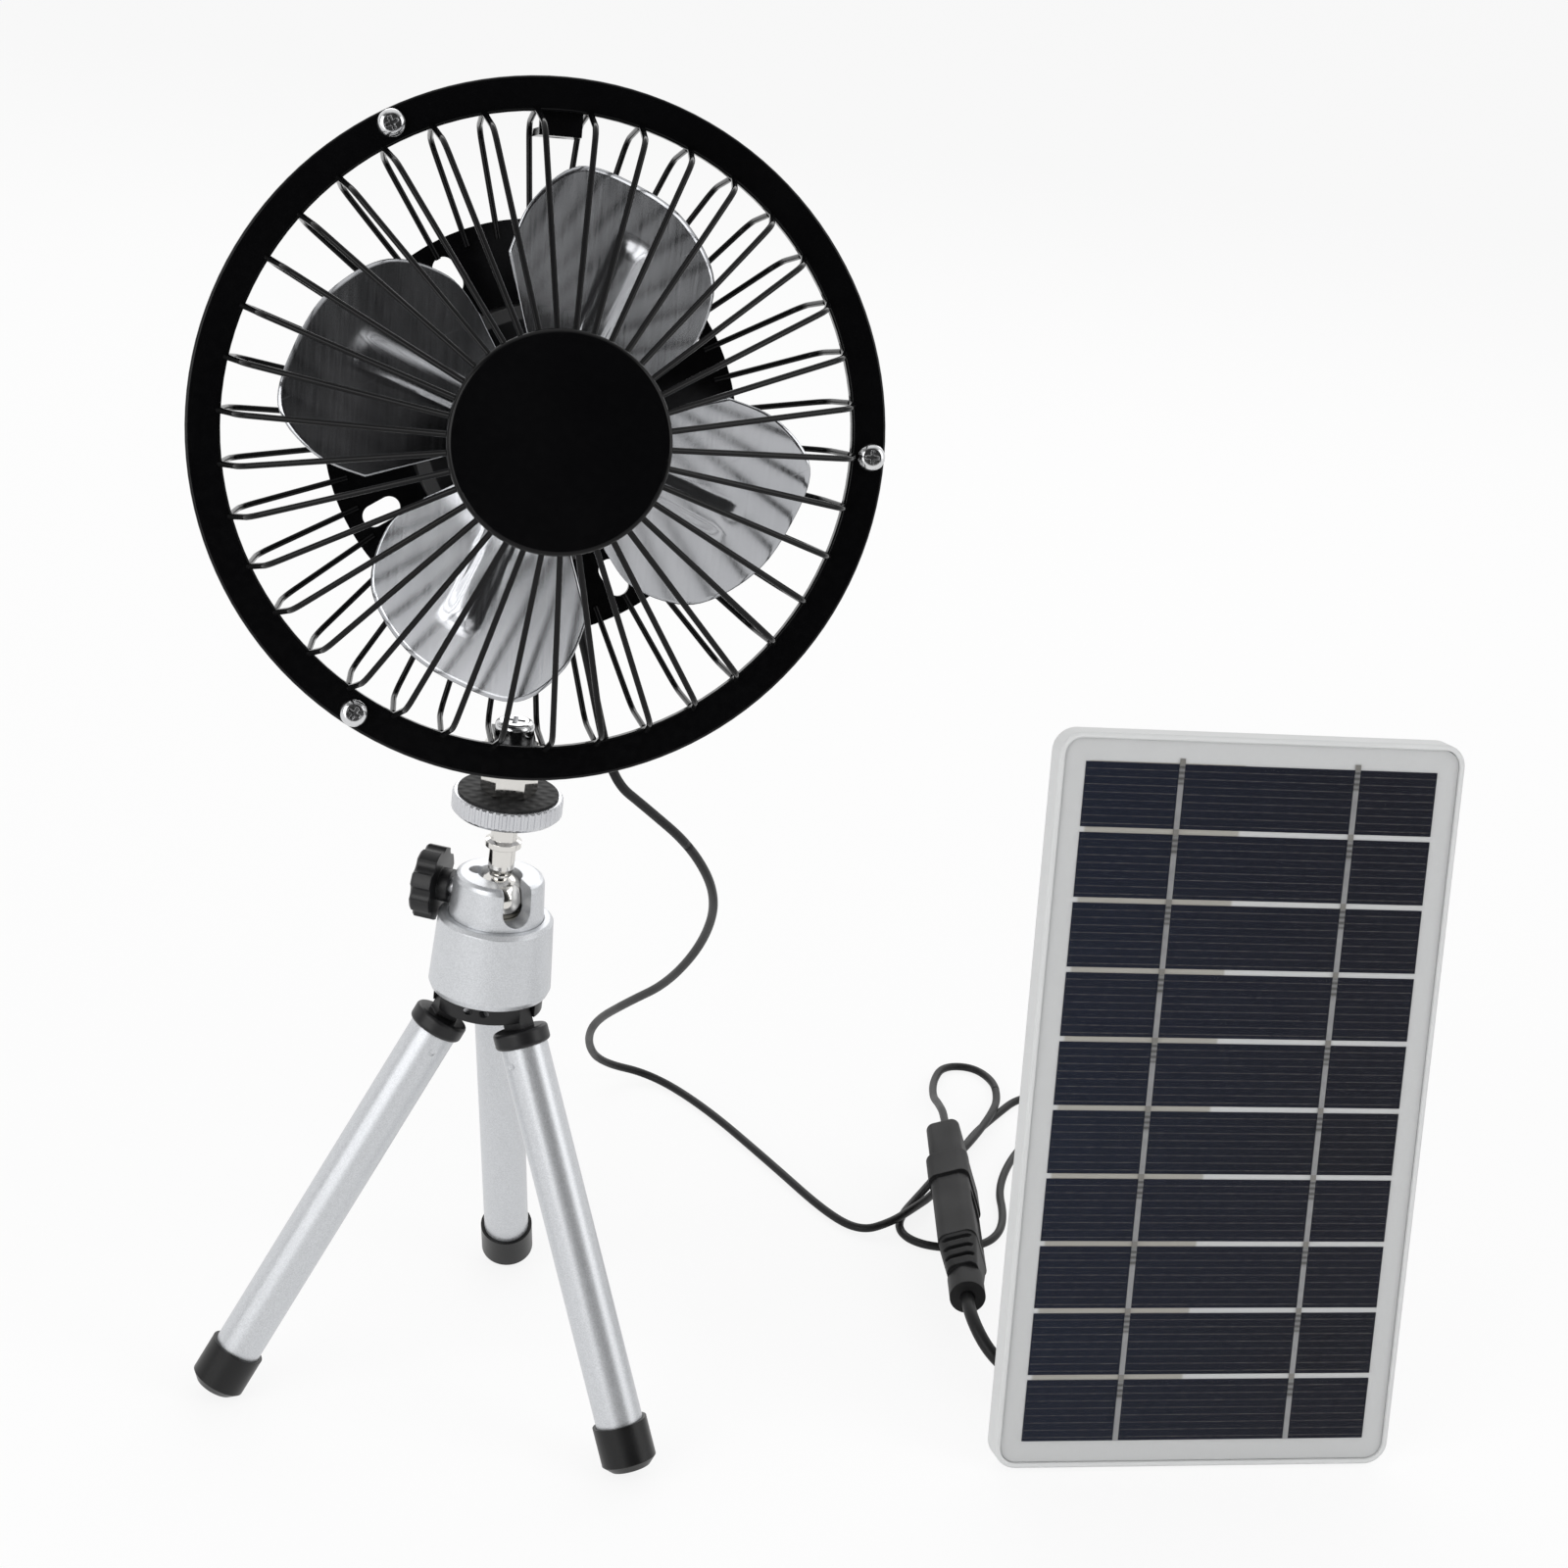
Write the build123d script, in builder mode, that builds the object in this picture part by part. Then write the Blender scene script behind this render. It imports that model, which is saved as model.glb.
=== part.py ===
from build123d import *
from math import acos, asin, cos, degrees, pi, radians, sin, sqrt, tan
import os

# Guarded metal desk fan on a folding table tripod, wired to a small solar panel.
# Millimetres, +Z up. The origin is on the floor, at the middle of the set's outline.

# ---------------------------------------------------------------- layout
tripod_x, tripod_y = -68.18, -10.11     # tripod axis on the floor
leg_azimuth = -36.4                      # compass angle of the first leg, from +X
slot_azimuth = -58.0                     # side on which the stem can lie down
knob_azimuth = 168.0                     # side that the clamp knob stands on
fan_azimuth = 11.3                       # the fan looks this far to the right of -Y
fan_lean = 14.5                          # and this far upwards
panel_x, panel_y = 118.7, -12.7          # panel's front left foot, from the tripod axis
panel_yaw, panel_lean = 14.5, 11.7

# ---------------------------------------------------------------- fits and clearances
running_fit = 0.05                       # radial, shaft in bore
slide_gap = 0.3                          # between parts that move past each other
close_gap = 0.1                          # between parts that are fastened together

# ---------------------------------------------------------------- fan guard
ring_outer_r, ring_band, ring_t, ring_edge_r = 69.0, 6.8, 1.5, 0.6
wire_r, wire_count = 0.6, 38
wire_root_inset = 0.4                    # wire centre line outside the ring's inner edge
front_bend_r, front_bend_w, front_bend_radius = ring_outer_r - ring_band - 3.0, 14.0, 5.0
rear_bend_r, rear_bend_w, rear_bend_radius = ring_outer_r - ring_band - 1.8, -16.0, 4.0
cap_r, cap_t, cap_w, cap_edge_r = 21.3, 2.2, 34.5, 1.0   # front cap: its face lies cap_w ahead of the ring
rear_plate_r, rear_plate_t = 41.7, 1.2
rear_plate_w = -19.5                     # back face of the rear plate
vent_slots, vent_slot_length, vent_slot_width, vent_slot_r = 4, 8.0, 4.5, 34.5
guard_screw_r, guard_screw_head_r, guard_screw_head_t = 1.5, 2.75, 2.2
guard_screw_pcr = ring_outer_r - 2.9
guard_screws_count, guard_nut_af, guard_nut_t = 3, 5.5, 2.4

# ---------------------------------------------------------------- motor and blades
housing_r, housing_wall, housing_w = 25.0, 1.2, -1.0
can_r, can_wall, can_length = 15.0, 1.0, 12.6
shaft_r, shaft_front_w = 1.15, 17.0
bearing_r, bearing_t = 4.0, 3.0
armature_r, armature_t = 10.2, 6.0
motor_screw_r, motor_screw_pcr, motor_screws_count = 1.0, 20.0, 3
magnet_t, magnet_arc = 2.6, 130.0
hub_r, hub_t = 8.0, 7.0
blade_t, blade_count, blade_pitch = 0.6, 4, 15.0
blade_w = 8.0                            # middle plane of the blades
blade_tip_r = 52.0
blade_phase = -21.0                      # middle line of the first blade
nut_af, nut_t = 7.0, 3.0

# ---------------------------------------------------------------- mounting tabs and coupling
tab_t, tab_width, tab_hole_r = 1.5, 8.4, 3.3
tab_leg, upper_tab_drop, tab_shelf = 4.8, 4.6, 13.0
hang_hole_r, hang_hole_inset = 2.2, 4.5
coupling_af, coupling_turn, coupling_turned, stud_r = 10.0, 8.0, 0.5, 3.15
tab_screw_head_r, tab_screw_head_t = 4.0, 3.0
fan_setback = 4.6                        # ring face behind the stem axis, level with the ring centre

# ---------------------------------------------------------------- tripod head (heights above the floor)
pad_top, pad_t, pad_r = 137.5, 0.5, 10.3
disc_r, disc_t, disc_edge, knurl_count, knurl_r = 11.3, 4.3, 0.8, 48, 0.42
ball_z, ball_r = 113.8, 5.5
stem_r, stem_neck_r, stem_shoulder_z = 2.75, 2.2, 118.4
flange_r, flange_z, flange_t = 3.75, 125.0, 2.0
cup_top_z, cup_top_r, cup_base_r, cup_bottom_z = 119.0, 9.3, 9.8, 97.4
cup_bore_r, cup_mouth_r, slot_width, slot_bottom_z = 5.9, 4.6, 6.2, 110.9
seat_top_z, seat_bottom_z = 110.6, 101.4
housing_top_z, housing_top_r, housing_base_z, housing_base_r = 110.0, 11.9, 93.4, 12.7
housing_skin = 1.3
base_plate_z, base_plate_t = 89.8, 4.8
knob_r, knob_t, knob_start, knob_lobes, lobe_r = 7.65, 4.4, 12.4, 8, 2.1
clamp_screw_r = 2.0
base_screw_r, base_screw_head_r = 1.5, 2.8

# ---------------------------------------------------------------- tripod legs
leg_spread = 26.6
pivot_r, pivot_z = 7.0, 92.2
lug_t, lug_width, lug_eye_r, pin_r = 4.0, 4.4, 2.4, 0.8
hinge_cap_r, hinge_cap_t, hinge_cap_drop = 5.8, 3.6, 5.4
tube_r, tube_wall = 5.0, 0.8
foot_r, foot_length, foot_chamfer, foot_socket = 5.8, 10.0, 1.6, 7.0
plug_depth = 6.0

# ---------------------------------------------------------------- solar panel
panel_width, panel_height, panel_t, panel_corner = 90.0, 161.0, 5.5, 5.0
tray_rim, tray_floor, tray_edge_r = 1.2, 1.6, 0.5
laminate_t = 1.1
cell_rows, cell_width, cell_height, cell_pitch = 10, 78.0, 13.8, 15.0
cell_t, cell_first = 0.2, 6.0            # thickness; lower edge of the lowest cell
ribbon_width, ribbon_t, ribbon_u = 1.2, 0.12, (27.0, 66.0)
cover_t = 0.35
box_width, box_height, box_depth, box_lid_t, box_wall = 30.0, 26.0, 10.0, 1.6, 1.5
box_u, box_v = 21.0, 38.0                # middle of the junction box on the panel's back
gland_r, gland_neck_r, gland_length, gland_u, gland_depth = 3.2, 2.4, 5.0, 15.0, 4.6
stand_width, stand_t = 26.0, 2.0
stand_middle_u, stand_pivot_v, stand_pivot_gap = 52.0, 100.0, 2.8
stand_pin_r, clip_length, clip_r, clip_spacing = 1.0, 4.0, 2.4, 14.0
stand_spread = 23.6                      # angle between the open stand and the panel

# ---------------------------------------------------------------- cords and connectors
cord_r, lead_r = 1.0, 1.5
conn_x, conn_y, conn_z = 111.6, 38.8, 12.3   # sleeve end of the socket, from the tripod axis
conn_yaw, conn_roll = 4.0, 22.0
socket_t, socket_w, plug_t, plug_w = 10.0, 15.0, 8.2, 13.4
sleeve_r, sleeve_length, taper_length, socket_length = 4.1, 8.0, 10.0, 38.0
plug_gap, plug_length, plug_neck_r, plug_neck_length = 0.4, 17.0, 3.0, 3.2
shell_t, shell_w, shell_wall, shell_length = 4.5, 12.0, 0.35, 11.5
socket_cavity = 13.0                     # depth of the opening in the socket
collar_length, grip_length, grip_depth = 10.5, 21.0, 0.5
tongue_t, tongue_w, tongue_shift = 1.3, 10.2, -0.6
insert_t, insert_shift, shell_root = 0.9, 0.85, 3.0

# The fan's cord, from the grommet in the motor housing to the plug's neck. The first points
# are in the fan's own frame (radius, angle, distance ahead of the ring); the rest are from
# the tripod axis.
cage_route = [(25.2, -73.5, -10.0), (35.0, -73.6, -10.2), (47.0, -73.2, -9.4), (59.0, -73.6, -9.0)]
drop_route = [
    (20.9, 1.0, 142.1), (27.8, 6.0, 135.2), (38.1, 16.0, 123.3), (44.3, 30.0, 106.7),
    (42.4, 47.0, 87.9), (35.0, 66.0, 67.6), (25.5, 84.0, 52.6), (17.3, 104.0, 36.7),
    (15.1, 125.0, 20.1), (18.0, 142.0, 6.5), (31.0, 150.0, 1.05),
]
floor_route = [
    (46.0, 135.6, 1.05), (63.5, 111.5, 1.05), (79.0, 89.0, 1.05), (87.5, 82.4, 1.25),
    (94.3, 85.0, 3.3), (98.8, 92.0, 3.3), (105.0, 106.0, 1.05), (109.4, 121.5, 1.05),
    (113.6, 138.0, 1.05), (120.8, 153.0, 1.05), (126.0, 163.0, 1.05), (133.5, 167.0, 1.05),
    (140.6, 162.2, 1.05), (139.5, 152.5, 1.05), (127.0, 139.5, 1.05), (120.4, 115.0, 1.05), (122.2, 97.5, 1.05),
    (119.5, 86.5, 1.05), (112.5, 81.0, 1.05), (103.0, 79.6, 1.05), (97.0, 83.5, 1.05),
    (96.2, 91.5, 1.05), (102.4, 107.5, 1.05), (107.3, 117.6, 3.15), (111.3, 126.0, 3.15),
    (115.6, 137.5, 3.2), (119.2, 149.5, 3.2), (120.8, 161.0, 1.2),
]
plug_route = [
    (120.0, 171.0, 1.05), (114.4, 178.0, 1.05), (106.4, 176.2, 1.05), (103.9, 166.5, 1.3),
    (103.6, 153.0, 3.6), (104.6, 139.0, 8.8), (105.7, 126.5, 12.3),
]
# The panel's lead, in the panel's own floor frame: along the panel, behind it, height.
lead_route = [
    (4.6, 46.2, 12.3), (8.2, 36.7, 6.4), (16.0, 33.5, 1.55), (27.0, 31.5, 1.55), (32.4, 25.1, 1.55),
    (31.7, 16.8, 1.55), (25.3, 11.5, 2.6),
]

# ---------------------------------------------------------------- frames
tripod = Vector(tripod_x, tripod_y, 0)


def from_tripod(x, y, z):
    """A point given from the tripod axis, in the set's own frame."""
    return tripod + Vector(x, y, z)


fan_ahead = Vector(sin(radians(fan_azimuth)), -cos(radians(fan_azimuth)), 0)
fan_axis = fan_ahead * cos(radians(fan_lean)) + Vector(0, 0, sin(radians(fan_lean)))
fan_right = Vector(cos(radians(fan_azimuth)), sin(radians(fan_azimuth)), 0)
ring_foot_z = 145.098                    # lowest point of the ring's rim above the floor
ring_centre_z = ring_foot_z + ring_outer_r * cos(radians(fan_lean))
ring_centre = from_tripod(0, 0, ring_centre_z) - fan_ahead * fan_setback
fan_plane = Plane(origin=ring_centre, x_dir=fan_right, z_dir=fan_axis)
fan_spin = Axis(ring_centre, fan_axis)
ring_inner_r = ring_outer_r - ring_band
wire_root_r = ring_inner_r + wire_root_inset


def fan_side(angle):
    """Plane through the fan's axis: x is the radius at that angle, y is ahead of the ring."""
    radial = fan_right * cos(radians(angle)) + fan_plane.y_dir * sin(radians(angle))
    return Plane(origin=ring_centre, x_dir=radial, z_dir=radial.cross(fan_axis))


def fan_point(radius, angle, ahead):
    side = fan_side(angle)
    return side.origin + side.x_dir * radius + fan_axis * ahead


def level(z):
    """Horizontal plane on the tripod axis."""
    return Plane(origin=from_tripod(0, 0, z), x_dir=(1, 0, 0), z_dir=(0, 0, 1))


def upright(azimuth):
    """Vertical plane through the tripod axis: x is the radius on that side, y is the height."""
    radial = Vector(cos(radians(azimuth)), sin(radians(azimuth)), 0)
    return Plane(origin=tripod, x_dir=radial, z_dir=radial.cross(Vector(0, 0, 1)))


stem_axis = Axis(tripod, (0, 0, 1))

panel_right = Vector(cos(radians(panel_yaw)), sin(radians(panel_yaw)), 0)
panel_back = Vector(-sin(radians(panel_yaw)), cos(radians(panel_yaw)), 0)
panel_up = panel_back * sin(radians(panel_lean)) + Vector(0, 0, cos(radians(panel_lean)))
panel_face = panel_right.cross(panel_up)
panel_floor = from_tripod(panel_x, panel_y, 0)
panel_corner_point = panel_floor + Vector(0, 0, panel_t * sin(radians(panel_lean)))
panel_plane = Plane(origin=panel_corner_point, x_dir=panel_right, z_dir=panel_face)


def panel_floor_point(along, behind, z):
    return panel_floor + panel_right * along + panel_back * behind + Vector(0, 0, z)


def panel_point(along, up, behind):
    return panel_corner_point + panel_right * along + panel_up * up - panel_face * behind


conn_axis = Vector(-sin(radians(conn_yaw)), cos(radians(conn_yaw)), 0)
conn_right = Vector(cos(radians(conn_yaw)), sin(radians(conn_yaw)), 0)
conn_thick = conn_right * cos(radians(conn_roll)) + Vector(0, 0, sin(radians(conn_roll)))
conn_plane = Plane(origin=from_tripod(conn_x, conn_y, conn_z), x_dir=conn_thick, z_dir=conn_axis)

os.makedirs("parts", exist_ok=True)
made = {}


def save(builder, name):
    builder.part.label = name
    export_step(builder.part, f"parts/{name}.step")
    made[name] = builder.part


def cross_recess(plane, size, depth):
    """Cutter for a Phillips cross in a screw head, down from the plane."""
    with BuildPart() as recess:
        with BuildSketch(plane):
            Rectangle(size, size / 4)
            Rectangle(size / 4, size)
        extrude(amount=-depth)
    return recess.part


# ================================================================ fan guard
def guard_ring(face_w, outer_face):
    """Stamped flat ring with its outer face's edges rolled over; outer_face is 1 at the front, 0 at the back."""
    with BuildPart() as ring:
        with BuildSketch(fan_plane.offset(face_w)):
            Circle(ring_outer_r)
            Circle(ring_inner_r, mode=Mode.SUBTRACT)
            with PolarLocations(guard_screw_pcr, guard_screws_count):
                Circle(guard_screw_r + close_gap, mode=Mode.SUBTRACT)
        extrude(amount=-ring_t)
        seen_face = ring.faces().sort_by(Axis(ring_centre, fan_axis))[-1 if outer_face else 0]
        rims = [edge for edge in seen_face.edges() if edge.radius > ring_inner_r - 1]
        fillet(rims, ring_edge_r)
    return ring


def guard_wires(stations, bend_radius):
    """Wires in radial planes through the (radius, ahead) stations, half a pitch off the tabs."""
    pitch = 360 / wire_count
    with BuildPart() as wires:
        for k in range(wire_count):
            with BuildLine(fan_side(90 + (k + 0.5) * pitch)) as path:
                FilletPolyline(*stations, radius=bend_radius)
            with BuildSketch(Plane(origin=path.line @ 0, z_dir=path.line % 0)):
                Circle(wire_r)
            sweep(path=path.line)
    return wires


front_ring = guard_ring(0, 1)
save(front_ring, "front_ring")
rear_ring = guard_ring(-ring_t, 0)
save(rear_ring, "rear_ring")

cap_back_w = cap_w - cap_t
wire_inner_r = cap_r - 1.6
front_wires = guard_wires(
    [(wire_root_r, wire_r * 0.4), (front_bend_r, front_bend_w), (wire_inner_r, cap_back_w - wire_r * 0.4)],
    front_bend_radius,
)
save(front_wires, "front_wires")
rear_plate_face_w = rear_plate_w + rear_plate_t
rear_wires = guard_wires(
    [(wire_root_r, -2 * ring_t - wire_r * 0.4), (rear_bend_r, rear_bend_w),
     (rear_plate_r - 3.4, rear_plate_face_w + wire_r * 0.6)],
    rear_bend_radius,
)
save(rear_wires, "rear_wires")

with BuildPart() as front_cap:
    with BuildSketch(fan_side(0)):
        with BuildLine():
            Polyline((0, cap_w), (cap_r, cap_w), (cap_r, cap_back_w), (0, cap_back_w), (0, cap_w))
        make_face()
    revolve(axis=fan_spin)
    cap_face = front_cap.faces().sort_by(Axis(ring_centre, fan_axis))[-1]
    fillet(cap_face.edges(), cap_edge_r)
save(front_cap, "front_cap")

with BuildPart() as rear_plate:
    with BuildSketch(fan_plane.offset(rear_plate_w)):
        Circle(rear_plate_r)
        Circle(bearing_r + close_gap, mode=Mode.SUBTRACT)
        with PolarLocations(vent_slot_r, vent_slots, start_angle=33):
            SlotOverall(vent_slot_length, vent_slot_width, mode=Mode.SUBTRACT)
        with PolarLocations(motor_screw_pcr, motor_screws_count, start_angle=30):
            Circle(motor_screw_r + close_gap, mode=Mode.SUBTRACT)
    extrude(amount=rear_plate_t)
save(rear_plate, "rear_plate")


def mounting_tab(points, hole_plane, hole_r):
    """Bent strip with one hole: the points run along its front and upper face, seen from the side."""
    with BuildPart() as tab:
        with BuildSketch(tab_side):
            with BuildLine():
                strip = Polyline(*points)
                offset(strip, amount=tab_t, side=Side.RIGHT)
            make_face()
        extrude(amount=tab_width / 2, both=True)
        with BuildSketch(hole_plane):
            Circle(hole_r)
        extrude(amount=2 * tab_t, both=True, mode=Mode.SUBTRACT)
    return tab


lean_cos, lean_sin = cos(radians(fan_lean)), sin(radians(fan_lean))
shelf_top_z = ring_centre_z - (ring_inner_r + 1.0) * lean_cos - 2 * ring_t * lean_sin
tab_side = Plane(origin=ring_centre, x_dir=fan_axis * -1, z_dir=fan_right)
tab_back = 2 * ring_t
lower_bend_v = (shelf_top_z - ring_centre_z + tab_back * lean_sin) / lean_cos
lower_tab = mounting_tab(
    [(tab_back, lower_bend_v - tab_leg), (tab_back, lower_bend_v),
     (tab_back + tab_shelf * lean_cos, lower_bend_v + tab_shelf * lean_sin)],
    level(shelf_top_z), tab_hole_r,
)

upper_bend_v = ring_inner_r - upper_tab_drop
upper_hole = ring_centre - fan_axis * (tab_back + tab_shelf - hang_hole_inset) + fan_plane.y_dir * upper_bend_v
upper_tab = mounting_tab(
    [(tab_back + tab_shelf, upper_bend_v), (tab_back, upper_bend_v), (tab_back, ring_inner_r + tab_leg)],
    Plane(origin=upper_hole, x_dir=fan_right, z_dir=fan_plane.y_dir), hang_hole_r,
)
with BuildPart() as mounting_tabs:
    add(lower_tab.part)
    add(upper_tab.part)
save(mounting_tabs, "mounting_tabs")

screw_tip_w = -2 * ring_t - 2.6
with BuildPart() as guard_fasteners:
    for k in range(guard_screws_count):
        seat = Plane(origin=fan_point(guard_screw_pcr, k * 120, 0), x_dir=fan_side(k * 120).x_dir, z_dir=fan_axis)
        with BuildSketch(seat):
            Circle(guard_screw_head_r)
        head = extrude(amount=guard_screw_head_t)
        fillet(head.faces().sort_by(Axis(seat.origin, fan_axis))[-1].edges(), guard_screw_head_t * 0.6)
        with BuildSketch(seat):
            Circle(guard_screw_r)
        extrude(amount=screw_tip_w)
        add(cross_recess(seat.offset(guard_screw_head_t), guard_screw_head_r, 1.2), mode=Mode.SUBTRACT)
        with BuildSketch(seat.offset(-2 * ring_t)):
            RegularPolygon(guard_nut_af / 2, 6, major_radius=False, rotation=30)
            Circle(guard_screw_r + running_fit, mode=Mode.SUBTRACT)
        extrude(amount=-guard_nut_t)
save(guard_fasteners, "guard_fasteners")

# ================================================================ motor
plate_front_w = rear_plate_face_w


def fan_turned(points, bore=None):
    """Solid of revolution about the fan's axis from (radius, ahead) points."""
    with BuildPart() as turned:
        with BuildSketch(fan_side(0)):
            with BuildLine():
                Polyline(*points, points[0])
            make_face()
        revolve(axis=fan_spin)
    return turned


boss_r = bearing_r + 1.2
housing_inner_w = housing_w - housing_wall
cord_angle, cord_exit_w = cage_route[0][1], cage_route[0][2]
grommet_face = Plane(origin=fan_point(housing_r, cord_angle, cord_exit_w), z_dir=fan_side(cord_angle).x_dir)
grommet_bore_r, grommet_hole_r = cord_r + close_gap / 2, 2.2
with BuildPart() as motor_housing:
    with BuildSketch(fan_side(0)):
        with BuildLine():
            Polyline((housing_r, plate_front_w), (housing_r, housing_w - 2.5), (housing_r - 2.5, housing_w),
                     (boss_r + 1.5, housing_w), (boss_r + 1.5, housing_inner_w),
                     (housing_r - 3.2, housing_inner_w), (housing_r - housing_wall, housing_w - 3.5),
                     (housing_r - housing_wall, plate_front_w), (housing_r, plate_front_w))
        make_face()
    revolve(axis=fan_spin)
    with BuildSketch(grommet_face):
        Circle(grommet_hole_r)
    extrude(amount=3, both=True, mode=Mode.SUBTRACT)
save(motor_housing, "motor_housing")

with BuildPart() as cord_grommet:
    with BuildSketch(grommet_face.offset(0.2)):
        Circle(3.0)
        Circle(grommet_bore_r, mode=Mode.SUBTRACT)
    extrude(amount=1.2)
    with BuildSketch(grommet_face.offset(0.2)):
        Circle(grommet_hole_r - close_gap)
        Circle(grommet_bore_r, mode=Mode.SUBTRACT)
    extrude(amount=-2.0)
save(cord_grommet, "cord_grommet")

can_back_w = plate_front_w + 0.6
can_front_w = can_back_w + can_length
end_cap_t = 1.4
bearing_bore_r = bearing_r + close_gap / 2
with BuildPart() as motor_can:
    with BuildSketch(fan_side(0)):
        with BuildLine():
            Polyline((can_r, can_back_w), (can_r, can_front_w - 1), (can_r - 1, can_front_w), (boss_r, can_front_w),
                     (boss_r, can_front_w + 1.6), (bearing_bore_r, can_front_w + 1.6),
                     (bearing_bore_r, can_front_w - can_wall), (can_r - can_wall, can_front_w - can_wall),
                     (can_r - can_wall, can_back_w + end_cap_t), (bearing_bore_r, can_back_w + end_cap_t),
                     (bearing_bore_r, can_back_w), (can_r, can_back_w))
        make_face()
    revolve(axis=fan_spin)
save(motor_can, "motor_can")

front_bearing_w = can_front_w + 1.4
rear_bearing_w = can_back_w + end_cap_t
with BuildPart() as motor_bearings:
    for face_w in (front_bearing_w, rear_bearing_w):
        with BuildSketch(fan_plane.offset(face_w)):
            Circle(bearing_r)
            Circle(shaft_r + running_fit, mode=Mode.SUBTRACT)
        extrude(amount=-bearing_t)
save(motor_bearings, "motor_bearings")

with BuildPart() as motor_magnets:
    magnet_outer_r = can_r - can_wall - close_gap
    with BuildSketch(fan_plane.offset(rear_bearing_w + 1.2)):
        Circle(magnet_outer_r)
        Circle(magnet_outer_r - magnet_t, mode=Mode.SUBTRACT)
        Rectangle(2 * can_r, 2 * magnet_outer_r * sin(radians(90 - magnet_arc / 2)), mode=Mode.SUBTRACT)
    extrude(amount=can_front_w - can_wall - 0.6 - rear_bearing_w - 1.2)
save(motor_magnets, "motor_magnets")

armature_w = rear_bearing_w + 2.4
with BuildPart() as motor_armature:
    with BuildSketch(fan_plane.offset(armature_w)):
        Circle(armature_r)
        with PolarLocations(armature_r, 5):
            SlotOverall(5.0, 1.6, mode=Mode.SUBTRACT)
        Circle(shaft_r + close_gap / 5, mode=Mode.SUBTRACT)
    extrude(amount=armature_t)
save(motor_armature, "motor_armature")

shaft_back_w = rear_bearing_w - bearing_t + 0.2
motor_shaft = fan_turned([
    (0, shaft_back_w), (shaft_r, shaft_back_w), (shaft_r, shaft_front_w - 0.4), (shaft_r - 0.4, shaft_front_w),
    (0, shaft_front_w),
])
save(motor_shaft, "motor_shaft")

with BuildPart() as motor_mount:
    with BuildSketch(fan_plane.offset(plate_front_w + 0.6)):
        Circle(housing_r - housing_wall - close_gap)
        Circle(can_r + close_gap, mode=Mode.SUBTRACT)
        with PolarLocations(motor_screw_pcr, motor_screws_count, start_angle=30):
            Circle(motor_screw_r + close_gap, mode=Mode.SUBTRACT)
    extrude(amount=1.4)
    with BuildSketch(fan_plane.offset(plate_front_w)):
        with PolarLocations(motor_screw_pcr, motor_screws_count, start_angle=30):
            Circle(2.6)
            Circle(motor_screw_r + close_gap, mode=Mode.SUBTRACT)
    extrude(amount=0.6)
    for k in range(motor_screws_count):
        seat = Plane(origin=fan_point(motor_screw_pcr, 30 + k * 120, rear_plate_w), x_dir=fan_right,
                     z_dir=fan_axis * -1)
        with BuildSketch(seat):
            Circle(1.9)
        extrude(amount=1.2)
        with BuildSketch(seat):
            Circle(motor_screw_r)
        extrude(amount=-(rear_plate_t + 2.6))
        add(cross_recess(seat.offset(1.2), 1.9, 0.7), mode=Mode.SUBTRACT)
save(motor_mount, "motor_mount")

# ================================================================ blades
hub_back_w = blade_w - hub_t / 2
blade_seat_r = 3.2
blade_hub = fan_turned([
    (shaft_r + close_gap / 5, hub_back_w), (hub_r - 1, hub_back_w), (hub_r, hub_back_w + 1),
    (hub_r, blade_w - blade_t / 2), (blade_seat_r, blade_w - blade_t / 2),
    (blade_seat_r, blade_w + hub_t / 2),
    (shaft_r + close_gap / 5, blade_w + hub_t / 2),
])
save(blade_hub, "blade_hub")


def blade_point(angle, reach):
    """Point of a blade's outline, by angle from its middle line and share of the tip radius."""
    radius = reach * blade_tip_r
    return (radius * cos(radians(angle)), radius * sin(radians(angle)))


with BuildPart() as fan_blade:
    with BuildSketch(fan_plane.offset(blade_w - blade_t / 2)):
        Circle(hub_r + 3.0)
    extrude(amount=blade_t)
    for k in range(blade_count):
        spoke = fan_side(blade_phase + k * 360 / blade_count).x_dir
        lead_side = fan_axis.cross(spoke)
        pitched_normal = fan_axis * cos(radians(blade_pitch)) - lead_side * sin(radians(blade_pitch))
        underside = ring_centre + fan_axis * blade_w - pitched_normal * (blade_t / 2)
        with BuildSketch(Plane(origin=underside, x_dir=spoke, z_dir=pitched_normal)):
            with BuildLine():
                tip = Spline(blade_point(38, 0.70), blade_point(30, 0.87), blade_point(19, 1.0),
                             blade_point(5, 0.985), blade_point(-9, 0.955), blade_point(-24, 0.87),
                             blade_point(-35, 0.69), blade_point(-38, 0.51))
                trailing = Line(tip @ 1, blade_point(-34, 0.20))
                root = Line(trailing @ 1, blade_point(34, 0.20))
                Line(root @ 1, tip @ 0)
            make_face()
        extrude(amount=blade_t)
    with BuildSketch(fan_plane.offset(blade_w)):
        Circle(blade_seat_r + close_gap)
    extrude(amount=5, both=True, mode=Mode.SUBTRACT)
save(fan_blade, "fan_blade")

with BuildPart() as blade_nut:
    with BuildSketch(fan_plane.offset(blade_w + hub_t / 2)):
        RegularPolygon(nut_af / 2, 6, major_radius=False)
        Circle(shaft_r + running_fit, mode=Mode.SUBTRACT)
    extrude(amount=nut_t)
save(blade_nut, "blade_nut")

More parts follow.
